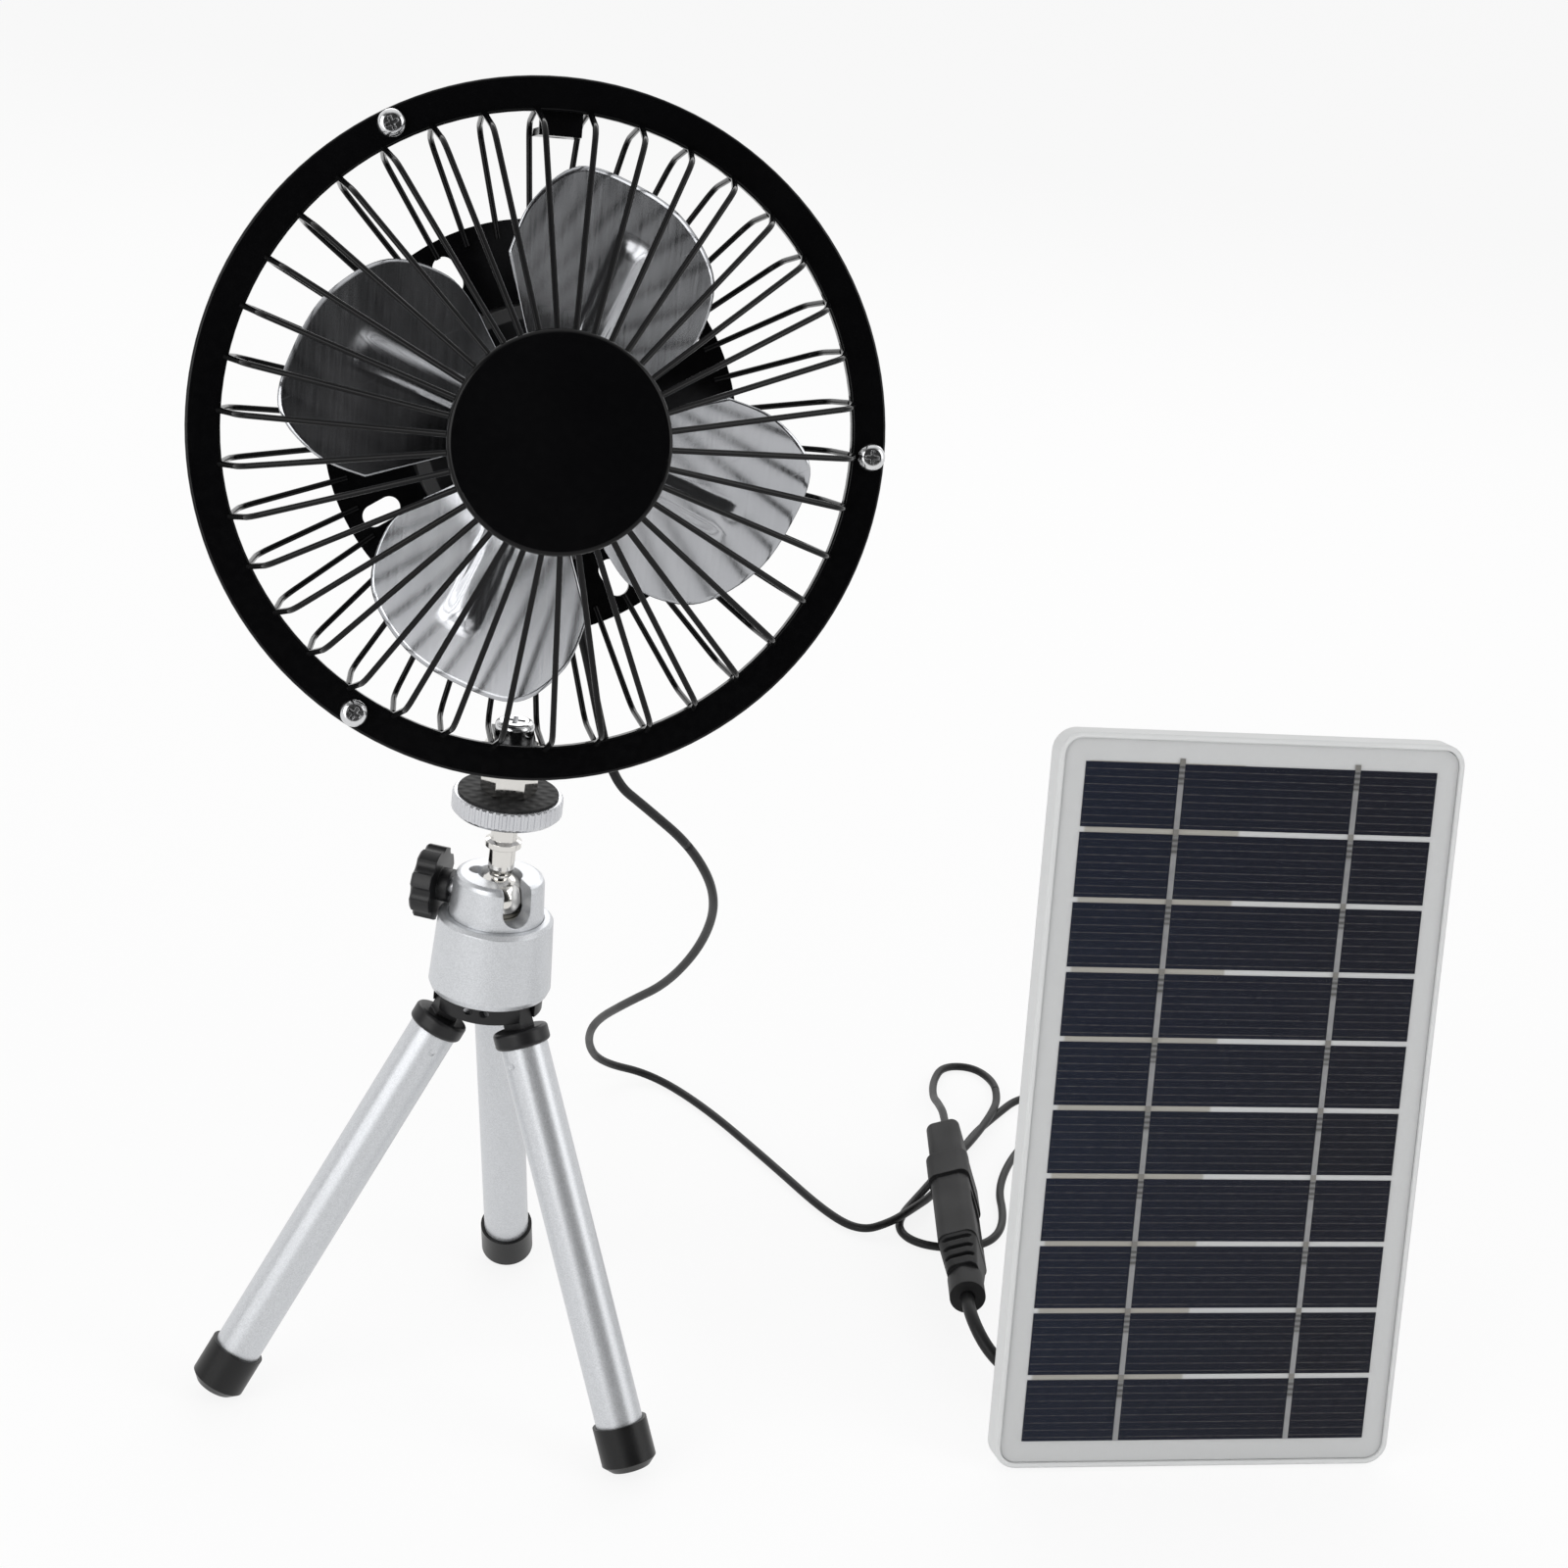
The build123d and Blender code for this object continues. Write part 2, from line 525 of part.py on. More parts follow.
# ================================================================ coupling under the fan
with BuildPart() as hex_coupling:
    coupling_top_z = shelf_top_z - tab_t - close_gap
    with BuildSketch(level(pad_top)):
        RegularPolygon(coupling_af / 2, 6, major_radius=False, rotation=coupling_turn)
        Circle(stud_r + running_fit, mode=Mode.SUBTRACT)
    extrude(amount=coupling_top_z - pad_top)
    with BuildSketch(upright(0)):
        with BuildLine():
            corner_r = coupling_af / sqrt(3)
            Polyline((0, pad_top), (corner_r - coupling_turned, pad_top), (corner_r, pad_top + coupling_turned),
                     (corner_r, coupling_top_z - coupling_turned), (corner_r - coupling_turned, coupling_top_z),
                     (0, coupling_top_z), (0, pad_top))
        make_face()
    revolve(axis=stem_axis, mode=Mode.INTERSECT)
save(hex_coupling, "hex_coupling")

stud_top_z = pad_top + 4.6
with BuildPart() as tab_screw:
    with BuildSketch(level(shelf_top_z)):
        Circle(tab_screw_head_r)
    head = extrude(amount=tab_screw_head_t)
    fillet(head.faces().sort_by(Axis.Z)[-1].edges(), tab_screw_head_t * 0.4)
    with BuildSketch(level(shelf_top_z)):
        Circle(stud_r)
    extrude(amount=stud_top_z + 0.6 - shelf_top_z)
    add(cross_recess(level(shelf_top_z + tab_screw_head_t), tab_screw_head_r, 1.6), mode=Mode.SUBTRACT)
save(tab_screw, "tab_screw")

# ================================================================ tripod head
pad_bottom = pad_top - pad_t
with BuildPart() as rubber_pad:
    with BuildSketch(level(pad_bottom)):
        Circle(pad_r)
        Circle(stud_r + close_gap, mode=Mode.SUBTRACT)
    extrude(amount=pad_t)
save(rubber_pad, "rubber_pad")


disc_bottom = pad_bottom - disc_t
with BuildPart() as platform_disc:
    with BuildSketch(level(disc_bottom)):
        Circle(disc_r)
        with PolarLocations(disc_r + knurl_r * 0.35, knurl_count):
            Circle(knurl_r, mode=Mode.SUBTRACT)
        Circle(stud_r + running_fit, mode=Mode.SUBTRACT)
    extrude(amount=disc_t)
    with BuildSketch(upright(0)):
        with BuildLine():
            Polyline((0, disc_bottom), (disc_r - disc_edge, disc_bottom), (disc_r, disc_bottom + disc_edge),
                     (disc_r, pad_bottom - disc_edge / 2), (disc_r - disc_edge / 2, pad_bottom), (0, pad_bottom),
                     (0, disc_bottom))
        make_face()
    revolve(axis=stem_axis, mode=Mode.INTERSECT)
save(platform_disc, "platform_disc")

flange_top = flange_z + flange_t
stud_bottom = disc_bottom - close_gap
with BuildPart() as ball_stem:
    with BuildSketch(upright(0)):
        with BuildLine():
            neck_angle = degrees(asin(stem_neck_r / ball_r))
            Polyline(
                (0, ball_z - ball_r), (0, stud_top_z), (stud_r - 0.5, stud_top_z), (stud_r, stud_top_z - 0.5),
                (stud_r, stud_bottom), (stem_r, stud_bottom - 0.3), (stem_r, flange_top), (flange_r, flange_top - 0.4),
                (flange_r, flange_z + 0.4), (stem_r, flange_z), (stem_r, stem_shoulder_z + 2.2),
                (stem_neck_r, stem_shoulder_z + 0.9),
                (stem_neck_r, ball_z + sqrt(ball_r ** 2 - stem_neck_r ** 2)),
            )
            CenterArc((0, ball_z), ball_r, -90, 180 - neck_angle)
        make_face()
    revolve(axis=stem_axis)
save(ball_stem, "ball_stem")


def azimuth_plane(azimuth, distance, height):
    """Plane facing outwards from the stem on one side, with its x horizontal and its y up."""
    outward = Vector(cos(radians(azimuth)), sin(radians(azimuth)), 0)
    return Plane(origin=from_tripod(0, 0, height) + outward * distance,
                 x_dir=Vector(-outward.Y, outward.X, 0), z_dir=outward)


slot_drop = cup_top_z - slot_bottom_z
mouth_edge_z = cup_top_z - 2.0
with BuildPart() as ball_cup:
    with BuildSketch(upright(0)):
        with BuildLine():
            Polyline((0, cup_bottom_z), (cup_base_r, cup_bottom_z), (cup_base_r, housing_top_z),
                     (cup_top_r, cup_top_z - 1.2), (cup_top_r - 0.4, cup_top_z - 0.4),
                     (cup_top_r - 1.2, cup_top_z), (0, cup_top_z), (0, cup_bottom_z))
        make_face()
    revolve(axis=stem_axis)
    with BuildSketch(level(seat_bottom_z - close_gap)):
        Circle(cup_bore_r)
    extrude(amount=ball_z - seat_bottom_z + close_gap, mode=Mode.SUBTRACT)
    with BuildSketch(upright(0)):
        with BuildLine():
            socket_r = ball_r + close_gap
            socket_arc = CenterArc((0, ball_z), socket_r, 0, degrees(acos(cup_mouth_r / socket_r)))
            Polyline(socket_arc @ 1, (cup_mouth_r, cup_top_z), (0, cup_top_z), (0, ball_z), socket_arc @ 0)
        make_face()
    revolve(axis=stem_axis, mode=Mode.SUBTRACT)
    with BuildSketch(azimuth_plane(slot_azimuth, 0, slot_bottom_z + slot_width / 2)):
        Circle(slot_width / 2)
        with Locations((0, slot_drop / 2)):
            Rectangle(slot_width, slot_drop)
    extrude(amount=2 * cup_base_r, mode=Mode.SUBTRACT)
    with BuildSketch(azimuth_plane(knob_azimuth, 0, ball_z)):
        Circle(clamp_screw_r + running_fit)
    extrude(amount=2 * cup_base_r, mode=Mode.SUBTRACT)
    with BuildSketch(level(mouth_edge_z)):
        with PolarLocations(cup_mouth_r, 1, start_angle=knob_azimuth + 7):
            Circle(1.9)
    extrude(amount=slot_drop, mode=Mode.SUBTRACT)
    with BuildSketch(level(cup_bottom_z)):
        Circle(base_screw_r + running_fit)
    extrude(amount=seat_bottom_z - cup_bottom_z, mode=Mode.SUBTRACT)
save(ball_cup, "ball_cup")

with BuildPart() as ball_seat:
    with BuildSketch(upright(0)):
        with BuildLine():
            seat_r = cup_bore_r - close_gap
            rim_angle = degrees(acos((ball_z - seat_top_z) / socket_r))
            recess = CenterArc((0, ball_z), socket_r, -90, rim_angle)
            Polyline(recess @ 1, (seat_r, seat_top_z), (seat_r, seat_bottom_z), (0, seat_bottom_z), recess @ 0)
        make_face()
    revolve(axis=stem_axis)
save(ball_seat, "ball_seat")

with BuildPart() as clamp_screw:
    with BuildSketch(azimuth_plane(knob_azimuth, socket_r + 0.05, ball_z)):
        Circle(clamp_screw_r)
    extrude(amount=knob_start + knob_t - 1.2 - socket_r - 0.05)
save(clamp_screw, "clamp_screw")

with BuildPart() as lock_knob:
    with BuildSketch(azimuth_plane(knob_azimuth, knob_start, ball_z)):
        Circle(knob_r)
        with PolarLocations(knob_r + lobe_r * 0.62, knob_lobes):
            Circle(lobe_r, mode=Mode.SUBTRACT)
    lobes = extrude(amount=knob_t)
    chamfer(lobes.faces().sort_by(Axis(lobes.center(), azimuth_plane(knob_azimuth, 0, 0).z_dir))[-1].edges(), 0.5)
    with BuildSketch(azimuth_plane(knob_azimuth, cup_base_r + slide_gap, ball_z)):
        Circle(knob_r * 0.46)
    extrude(amount=knob_start - cup_base_r - slide_gap)
    with BuildSketch(azimuth_plane(knob_azimuth, cup_base_r, ball_z)):
        Circle(clamp_screw_r)
    extrude(amount=knob_start + knob_t - 1.2 - cup_base_r, mode=Mode.SUBTRACT)
save(lock_knob, "lock_knob")

leg_azimuths = [leg_azimuth + 120 * k for k in range(3)]
with BuildPart() as leg_housing:
    with BuildSketch(upright(0)):
        with BuildLine():
            Polyline((cup_base_r + close_gap, housing_top_z), (housing_top_r - 0.8, housing_top_z),
                     (housing_top_r, housing_top_z - 0.8), (housing_base_r, housing_base_z + 1.2),
                     (housing_base_r - 0.5, housing_base_z), (housing_base_r - housing_skin, housing_base_z),
                     (housing_base_r - housing_skin, base_plate_z + base_plate_t + 0.2),
                     (cup_base_r + close_gap, base_plate_z + base_plate_t + 2.2),
                     (cup_base_r + close_gap, housing_top_z))
        make_face()
    revolve(axis=stem_axis)
save(leg_housing, "leg_housing")

plate_top = base_plate_z + base_plate_t
plate_r = housing_base_r - housing_skin - close_gap
leg_slot_start = pivot_r - lug_eye_r - 0.9
with BuildPart() as base_plate:
    with BuildSketch(level(base_plate_z)):
        Circle(plate_r)
        for azimuth in leg_azimuths:
            with PolarLocations(leg_slot_start + plate_r / 2, 1, start_angle=azimuth):
                Rectangle(plate_r, lug_width, mode=Mode.SUBTRACT)
        Circle(base_screw_r + close_gap, mode=Mode.SUBTRACT)
    extrude(amount=base_plate_t)
    with BuildSketch(level(plate_top)):
        Circle(3.2)
        Circle(base_screw_r + close_gap, mode=Mode.SUBTRACT)
    extrude(amount=cup_bottom_z - plate_top)
    for azimuth in leg_azimuths:
        pivot = upright(azimuth).origin + upright(azimuth).x_dir * pivot_r + Vector(0, 0, pivot_z)
        with BuildSketch(Plane(origin=pivot, z_dir=upright(azimuth).z_dir)):
            Circle(pin_r)
        extrude(amount=plate_r, both=True, mode=Mode.SUBTRACT)
save(base_plate, "base_plate")

with BuildPart() as base_pins:
    with BuildSketch(level(base_plate_z)):
        Circle(base_screw_head_r)
    extrude(amount=-1.6)
    with BuildSketch(level(base_plate_z)):
        Circle(base_screw_r)
    extrude(amount=seat_bottom_z - 1.2 - base_plate_z)
    add(cross_recess(Plane(origin=from_tripod(0, 0, base_plate_z - 1.6), x_dir=(1, 0, 0), z_dir=(0, 0, -1)),
                     base_screw_head_r, 0.9), mode=Mode.SUBTRACT)
    for azimuth in leg_azimuths:
        pivot = upright(azimuth).origin + upright(azimuth).x_dir * pivot_r + Vector(0, 0, pivot_z)
        half_pin = sqrt(plate_r ** 2 - pivot_r ** 2) - 0.9
        with BuildSketch(Plane(origin=pivot, z_dir=upright(azimuth).z_dir)):
            Circle(pin_r)
        extrude(amount=half_pin, both=True)
save(base_pins, "base_pins")

# ================================================================ tripod legs
leg_cos, leg_sin = cos(radians(leg_spread)), sin(radians(leg_spread))
leg_length = (pivot_z - (foot_r - foot_chamfer) * leg_sin) / leg_cos


def leg_section(azimuth, along):
    """Plane square to a leg, a distance down it from its pivot, facing the foot."""
    side = upright(azimuth)
    down = side.x_dir * leg_sin - Vector(0, 0, leg_cos)
    pivot = side.origin + side.x_dir * pivot_r + Vector(0, 0, pivot_z)
    return Plane(origin=pivot + down * along, x_dir=side.z_dir, z_dir=down)


def leg_hinge(azimuth):
    side = upright(azimuth)
    with BuildPart() as hinge:
        with BuildSketch(Plane(origin=leg_section(azimuth, 0).origin, x_dir=leg_section(azimuth, 0).z_dir,
                               z_dir=side.z_dir)):
            Circle(lug_eye_r)
            with Locations((hinge_cap_drop / 2, 0)):
                Rectangle(hinge_cap_drop, 2 * lug_eye_r)
        extrude(amount=lug_t / 2, both=True)
        with BuildSketch(leg_section(azimuth, hinge_cap_drop)):
            Circle(hinge_cap_r)
        collar = extrude(amount=hinge_cap_t)
        fillet(collar.edges().filter_by(GeomType.CIRCLE), 0.8)
        with BuildSketch(leg_section(azimuth, hinge_cap_drop + hinge_cap_t)):
            Circle(tube_r - tube_wall - close_gap)
        extrude(amount=plug_depth)
        with BuildSketch(Plane(origin=leg_section(azimuth, 0).origin, z_dir=side.z_dir)):
            Circle(pin_r + running_fit)
        extrude(amount=lug_t, both=True, mode=Mode.SUBTRACT)
    return hinge


def leg_tube(azimuth):
    start = hinge_cap_drop + hinge_cap_t
    with BuildPart() as tube:
        with BuildSketch(leg_section(azimuth, start)):
            Circle(tube_r)
            Circle(tube_r - tube_wall, mode=Mode.SUBTRACT)
        extrude(amount=leg_length - foot_length + foot_socket - start)
    return tube


def foot(azimuth):
    with BuildPart() as boot:
        with BuildSketch(leg_section(azimuth, leg_length - foot_length)):
            Circle(foot_r)
        body = extrude(amount=foot_length)
        chamfer(body.faces().sort_by(Axis(tripod, leg_section(azimuth, 0).z_dir))[-1].edges(), foot_chamfer)
        with BuildSketch(leg_section(azimuth, leg_length - foot_length)):
            Circle(tube_r + running_fit)
        extrude(amount=foot_socket, mode=Mode.SUBTRACT)
    return boot


for number, azimuth in enumerate(leg_azimuths, start=1):
    save(leg_hinge(azimuth), f"leg_hinge_{number}")
    save(leg_tube(azimuth), f"leg_tube_{number}")
    save(foot(azimuth), f"foot_{number}")

# ================================================================ solar panel
def panel_middle(depth, along=panel_width / 2, up=panel_height / 2):
    return Plane(origin=panel_point(along, up, depth), x_dir=panel_right, z_dir=panel_face)


pocket_depth = panel_t - tray_floor
with BuildPart() as panel_tray:
    with BuildSketch(panel_middle(panel_t)):
        RectangleRounded(panel_width, panel_height, panel_corner)
    slab = extrude(amount=panel_t)
    fillet(slab.faces().sort_by(Axis(panel_corner_point, panel_face))[-1].edges(), tray_edge_r)
    with BuildSketch(panel_middle(0)):
        RectangleRounded(panel_width - 2 * tray_rim, panel_height - 2 * tray_rim, panel_corner - tray_rim)
    extrude(amount=-pocket_depth, mode=Mode.SUBTRACT)
    for up in (panel_height * 0.36, panel_height * 0.5, panel_height * 0.64, panel_height * 0.82):
        with BuildSketch(panel_middle(pocket_depth, up=up)):
            Rectangle(panel_width - 2 * tray_rim, 1.2)
        extrude(amount=pocket_depth - cover_t - laminate_t - close_gap)
    with BuildSketch(panel_middle(pocket_depth, along=box_u, up=box_v)):
        Circle(2.5)
    extrude(amount=-tray_floor, mode=Mode.SUBTRACT)
    for along in (stand_middle_u - clip_spacing / 2, stand_middle_u + clip_spacing / 2):
        knuckle = Plane(origin=panel_point(along - clip_length / 2, stand_pivot_v, panel_t + stand_pivot_gap),
                        x_dir=panel_up, z_dir=panel_right)
        with BuildSketch(knuckle):
            Circle(clip_r)
            with Locations((0, stand_pivot_gap / 2 + 0.1)):
                Rectangle(2 * clip_r, stand_pivot_gap + 0.2)
        extrude(amount=clip_length)
    with BuildSketch(knuckle.offset(-clip_spacing - clip_length)):
        Circle(stand_pin_r)
    extrude(amount=clip_spacing + 3 * clip_length, mode=Mode.SUBTRACT)
save(panel_tray, "panel_tray")

inset = tray_rim + close_gap
with BuildPart() as cell_backing:
    with BuildSketch(panel_middle(cover_t + laminate_t)):
        RectangleRounded(panel_width - 2 * inset, panel_height - 2 * inset, panel_corner - inset)
    extrude(amount=laminate_t - cell_t - ribbon_t)
save(cell_backing, "cell_backing")

cell_face = cover_t + ribbon_t
with BuildPart() as solar_cells:
    for row in range(cell_rows):
        middle_v = cell_first + cell_height / 2 + row * cell_pitch
        with BuildSketch(panel_middle(cell_face + cell_t, up=middle_v)):
            Rectangle(cell_width, cell_height)
        extrude(amount=cell_t)
save(solar_cells, "solar_cells")

ribbon_top = cell_first + cell_height + (cell_rows - 1) * cell_pitch + 1.2
with BuildPart() as bus_ribbons:
    for along in ribbon_u:
        with BuildSketch(panel_middle(cell_face, along=along, up=(cell_first + ribbon_top) / 2)):
            Rectangle(ribbon_width, ribbon_top - cell_first)
        extrude(amount=ribbon_t)
save(bus_ribbons, "bus_ribbons")

with BuildPart() as clear_cover:
    with BuildSketch(panel_middle(cover_t)):
        RectangleRounded(panel_width - 2 * inset, panel_height - 2 * inset, panel_corner - inset)
    extrude(amount=cover_t - 0.05)
save(clear_cover, "clear_cover")

gland_top_v = box_v - box_height / 2
gland_bottom_v = gland_top_v - gland_length
with BuildPart() as junction_box:
    with BuildSketch(panel_middle(panel_t, along=box_u, up=box_v)):
        RectangleRounded(box_width, box_height, 3.0)
    extrude(amount=-(box_depth - box_lid_t))
    with BuildSketch(panel_middle(panel_t + 1.2, along=box_u, up=box_v)):
        Rectangle(box_width - 2 * box_wall, box_height - 2 * box_wall)
    extrude(amount=-box_depth, mode=Mode.SUBTRACT)
    with BuildSketch(Plane(origin=panel_point(gland_u, gland_top_v, panel_t + gland_depth), x_dir=panel_right,
                           z_dir=panel_up * -1)):
        Circle(gland_neck_r + close_gap)
    extrude(amount=box_wall, both=True, mode=Mode.SUBTRACT)
    with BuildSketch(panel_middle(panel_t, along=box_u, up=box_v)):
        Circle(2.5)
    extrude(amount=-2, mode=Mode.SUBTRACT)
save(junction_box, "junction_box")

lid_depth = panel_t + box_depth - box_lid_t + 0.05
with BuildPart() as junction_lid:
    with BuildSketch(panel_middle(lid_depth, along=box_u, up=box_v)):
        RectangleRounded(box_width, box_height, 3.0)
    extrude(amount=-box_lid_t)
    with BuildSketch(panel_middle(lid_depth, along=box_u, up=box_v)):
        Rectangle(box_width - 2 * box_wall - 2 * close_gap, box_height - 2 * box_wall - 2 * close_gap)
        Rectangle(box_width - 4 * box_wall, box_height - 4 * box_wall, mode=Mode.SUBTRACT)
    extrude(amount=1.5)
save(junction_lid, "junction_lid")

gland_seat = Plane(origin=panel_point(gland_u, gland_top_v, panel_t + gland_depth), x_dir=panel_right,
                   z_dir=panel_up * -1)
with BuildPart() as cable_gland:
    with BuildSketch(gland_seat):
        RegularPolygon(gland_r, 6, major_radius=False)
        Circle(lead_r + close_gap / 2, mode=Mode.SUBTRACT)
    extrude(amount=gland_length)
    with BuildSketch(gland_seat):
        Circle(gland_neck_r)
        Circle(lead_r + close_gap / 2, mode=Mode.SUBTRACT)
    extrude(amount=-box_wall - 0.2)
save(cable_gland, "cable_gland")

# The stand hangs from the pin on the panel's back; its rest pose is open against its stop.
stand_axis = Axis(panel_point(stand_middle_u, stand_pivot_v, panel_t + stand_pivot_gap), panel_right)
stand_down = panel_up * -cos(radians(stand_spread)) - panel_face * sin(radians(stand_spread))
stand_plane = Plane(origin=stand_axis.position, x_dir=panel_right, z_dir=panel_right.cross(stand_down))
stand_splay = radians(stand_spread - panel_lean)
stand_length = (stand_axis.position.Z - stand_t / 2 * sin(stand_splay)) / cos(stand_splay)
with BuildPart() as stand_flap:
    with BuildSketch(stand_plane.offset(-stand_t / 2)):
        with Locations((0, stand_length / 2)):
            RectangleRounded(stand_width, stand_length, 3.0)
        with Locations((0, stand_length * 0.56)):
            RectangleRounded(stand_width - 12, stand_length * 0.55, 3.0, mode=Mode.SUBTRACT)
    extrude(amount=stand_t)
    with BuildSketch(Plane(origin=stand_axis.position, x_dir=stand_down, z_dir=panel_right)):
        Circle(clip_r)
    extrude(amount=stand_width / 2, both=True)
    for side in (-1, 1):
        with BuildSketch(Plane(origin=stand_axis.position + panel_right * side * clip_spacing / 2,
                               x_dir=stand_down, z_dir=panel_right)):
            Rectangle(2 * clip_r + 2.4, 2 * clip_r + 2.4)
        extrude(amount=clip_length / 2 + slide_gap, both=True, mode=Mode.SUBTRACT)
    with BuildSketch(Plane(origin=stand_axis.position, x_dir=stand_down, z_dir=panel_right)):
        Circle(stand_pin_r + running_fit)
    extrude(amount=stand_width, both=True, mode=Mode.SUBTRACT)
save(stand_flap, "stand_flap")

with BuildPart() as stand_pin:
    with BuildSketch(Plane(origin=stand_axis.position, x_dir=stand_down, z_dir=panel_right)):
        Circle(stand_pin_r)
    extrude(amount=stand_width / 2 + 0.6, both=True)
save(stand_pin, "stand_pin")

# ================================================================ connectors
def across(distance):
    """Section of the connectors, a distance from the sleeve's end towards the plug."""
    return conn_plane.offset(distance)


socket_start = sleeve_length + taper_length
socket_end = socket_start + socket_length
with BuildPart() as usb_socket_body:
    with BuildSketch(across(0)):
        Circle(sleeve_r)
    extrude(amount=sleeve_length)
    with BuildSketch(across(sleeve_length - 0.4)):
        RectangleRounded(2 * sleeve_r - 1.0, 2 * sleeve_r + 1.0, 2.2)
    with BuildSketch(across(socket_start)):
        RectangleRounded(socket_t - 1.0, socket_w - 1.4, 2.6)
    loft()
    with BuildSketch(across(socket_start)):
        RectangleRounded(socket_t - 0.8, socket_w - 1.2, 2.4)
    extrude(amount=socket_length)
    with BuildSketch(across(socket_end - collar_length)):
        RectangleRounded(socket_t, socket_w, 2.2)
    extrude(amount=collar_length)
    for slot in range(3):
        with BuildSketch(across(sleeve_length + 1.8 + slot * 2.9)):
            Rectangle(socket_t + 2, socket_w + 2)
            Rectangle(2 * sleeve_r - 0.4 + slot * 0.9, 2 * sleeve_r + 0.2 + slot * 1.6, mode=Mode.SUBTRACT)
        extrude(amount=1.2, mode=Mode.SUBTRACT)
    with BuildSketch(across(socket_end)):
        Rectangle(shell_t + 2 * close_gap, shell_w + 2 * close_gap)
    extrude(amount=-socket_cavity, mode=Mode.SUBTRACT)
    grip_middle = across(socket_end - collar_length - grip_length / 2 - 2.5).origin
    for side in (-1, 1):
        outward = conn_thick * side
        with BuildSketch(Plane(origin=grip_middle + outward * (socket_t / 2 - 0.4 - grip_depth), x_dir=conn_axis,
                               z_dir=outward)):
            SlotOverall(grip_length, socket_w * 0.62)
        extrude(amount=grip_depth + 1, mode=Mode.SUBTRACT)
    with BuildSketch(across(0)):
        Circle(lead_r + close_gap / 2)
    extrude(amount=sleeve_length - 1, mode=Mode.SUBTRACT)
save(usb_socket_body, "usb_socket_body")

with BuildPart() as usb_socket_shell:
    with BuildSketch(across(socket_end - 0.6)):
        Rectangle(shell_t, shell_w)
        Rectangle(shell_t - 2 * shell_wall, shell_w - 2 * shell_wall, mode=Mode.SUBTRACT)
    extrude(amount=0.6 - socket_cavity + close_gap)
save(usb_socket_shell, "usb_socket_shell")

with BuildPart() as socket_tongue:
    cavity_floor = socket_end - socket_cavity + close_gap
    with BuildSketch(across(cavity_floor)):
        Rectangle(shell_t - 2 * shell_wall - close_gap, shell_w - 2 * shell_wall - close_gap)
    extrude(amount=1.0)
    with BuildSketch(across(cavity_floor + 1.0)):
        with Locations((tongue_shift, 0)):
            Rectangle(tongue_t, tongue_w)
    extrude(amount=socket_cavity - 2.2)
save(socket_tongue, "socket_tongue")

plug_start = socket_end + plug_gap
with BuildPart() as usb_plug_shell:
    plug_shell_t, plug_shell_w = shell_t - 2 * shell_wall - 0.2, shell_w - 2 * shell_wall - 0.2
    with BuildSketch(across(plug_start + shell_root)):
        Rectangle(plug_shell_t, plug_shell_w)
        Rectangle(plug_shell_t - 2 * shell_wall, plug_shell_w - 2 * shell_wall, mode=Mode.SUBTRACT)
    extrude(amount=-(shell_root + plug_gap + shell_length))
save(usb_plug_shell, "usb_plug_shell")

with BuildPart() as usb_plug_body:
    with BuildSketch(across(plug_start)):
        RectangleRounded(plug_t, plug_w, 2.0)
    body = extrude(amount=plug_length)
    fillet(body.faces().sort_by(Axis(conn_plane.origin, conn_axis))[-1].edges(), 1.2)
    with BuildSketch(across(plug_start + plug_length - 0.2)):
        Circle(plug_neck_r)
    extrude(amount=plug_neck_length + 0.2)
    with BuildSketch(across(plug_start)):
        Rectangle(plug_shell_t + close_gap, plug_shell_w + close_gap)
        Rectangle(plug_shell_t - 2 * shell_wall - close_gap, plug_shell_w - 2 * shell_wall - close_gap,
                  mode=Mode.SUBTRACT)
    extrude(amount=shell_root + close_gap, mode=Mode.SUBTRACT)
    with BuildSketch(across(plug_start)):
        with Locations((insert_shift, 0)):
            Rectangle(insert_t, plug_shell_w - 2 * shell_wall - close_gap)
    extrude(amount=0.6 - plug_gap - shell_length)
    with BuildSketch(across(plug_start + plug_length + plug_neck_length)):
        Circle(cord_r + close_gap / 2)
    extrude(amount=-plug_neck_length - 2, mode=Mode.SUBTRACT)
save(usb_plug_body, "usb_plug_body")

# ================================================================ cords
def print_cord(name, tube, path, radius, radii):
    length = sum(edge.length for edge in path.edges())
    share = tube.part.volume / (length * pi * radius ** 2)
    bends = " ".join(f"{r:.1f}" for r in radii)
    print(f"{name}: length {length:.0f}, volume over section times length {share:.3f}, bends {bends}")


def bend_radii(points):
    """Arc radius at every inner point: close to the most that its two straight runs leave room for."""
    radii = []
    for before, here, after in zip(points, points[1:], points[2:]):
        turn = (here - before).get_angle(after - here)
        shorter = min((here - before).length, (after - here).length)
        radii.append(0.45 * shorter / tan(radians(turn / 2)))
    return radii


def cord_tube(name, points, radius):
    radii = bend_radii(points)
    with BuildPart() as tube:
        with BuildLine() as path:
            FilletPolyline(*points, radius=radii)
        with BuildSketch(Plane(origin=path.line @ 0, z_dir=path.line % 0)):
            Circle(radius)
        sweep(path=path.line)
    save(tube, name)
    print_cord(name, tube, path.line, radius, radii)


def towards(start, end, share):
    return start + (end - start) * share


cage_points = [fan_point(*station) for station in cage_route]
drop_points = [from_tripod(*station) for station in drop_route]
floor_points = [from_tripod(*station) for station in floor_route]
plug_points = [from_tripod(*station) for station in plug_route]
lead_points = [panel_floor_point(*station) for station in lead_route]

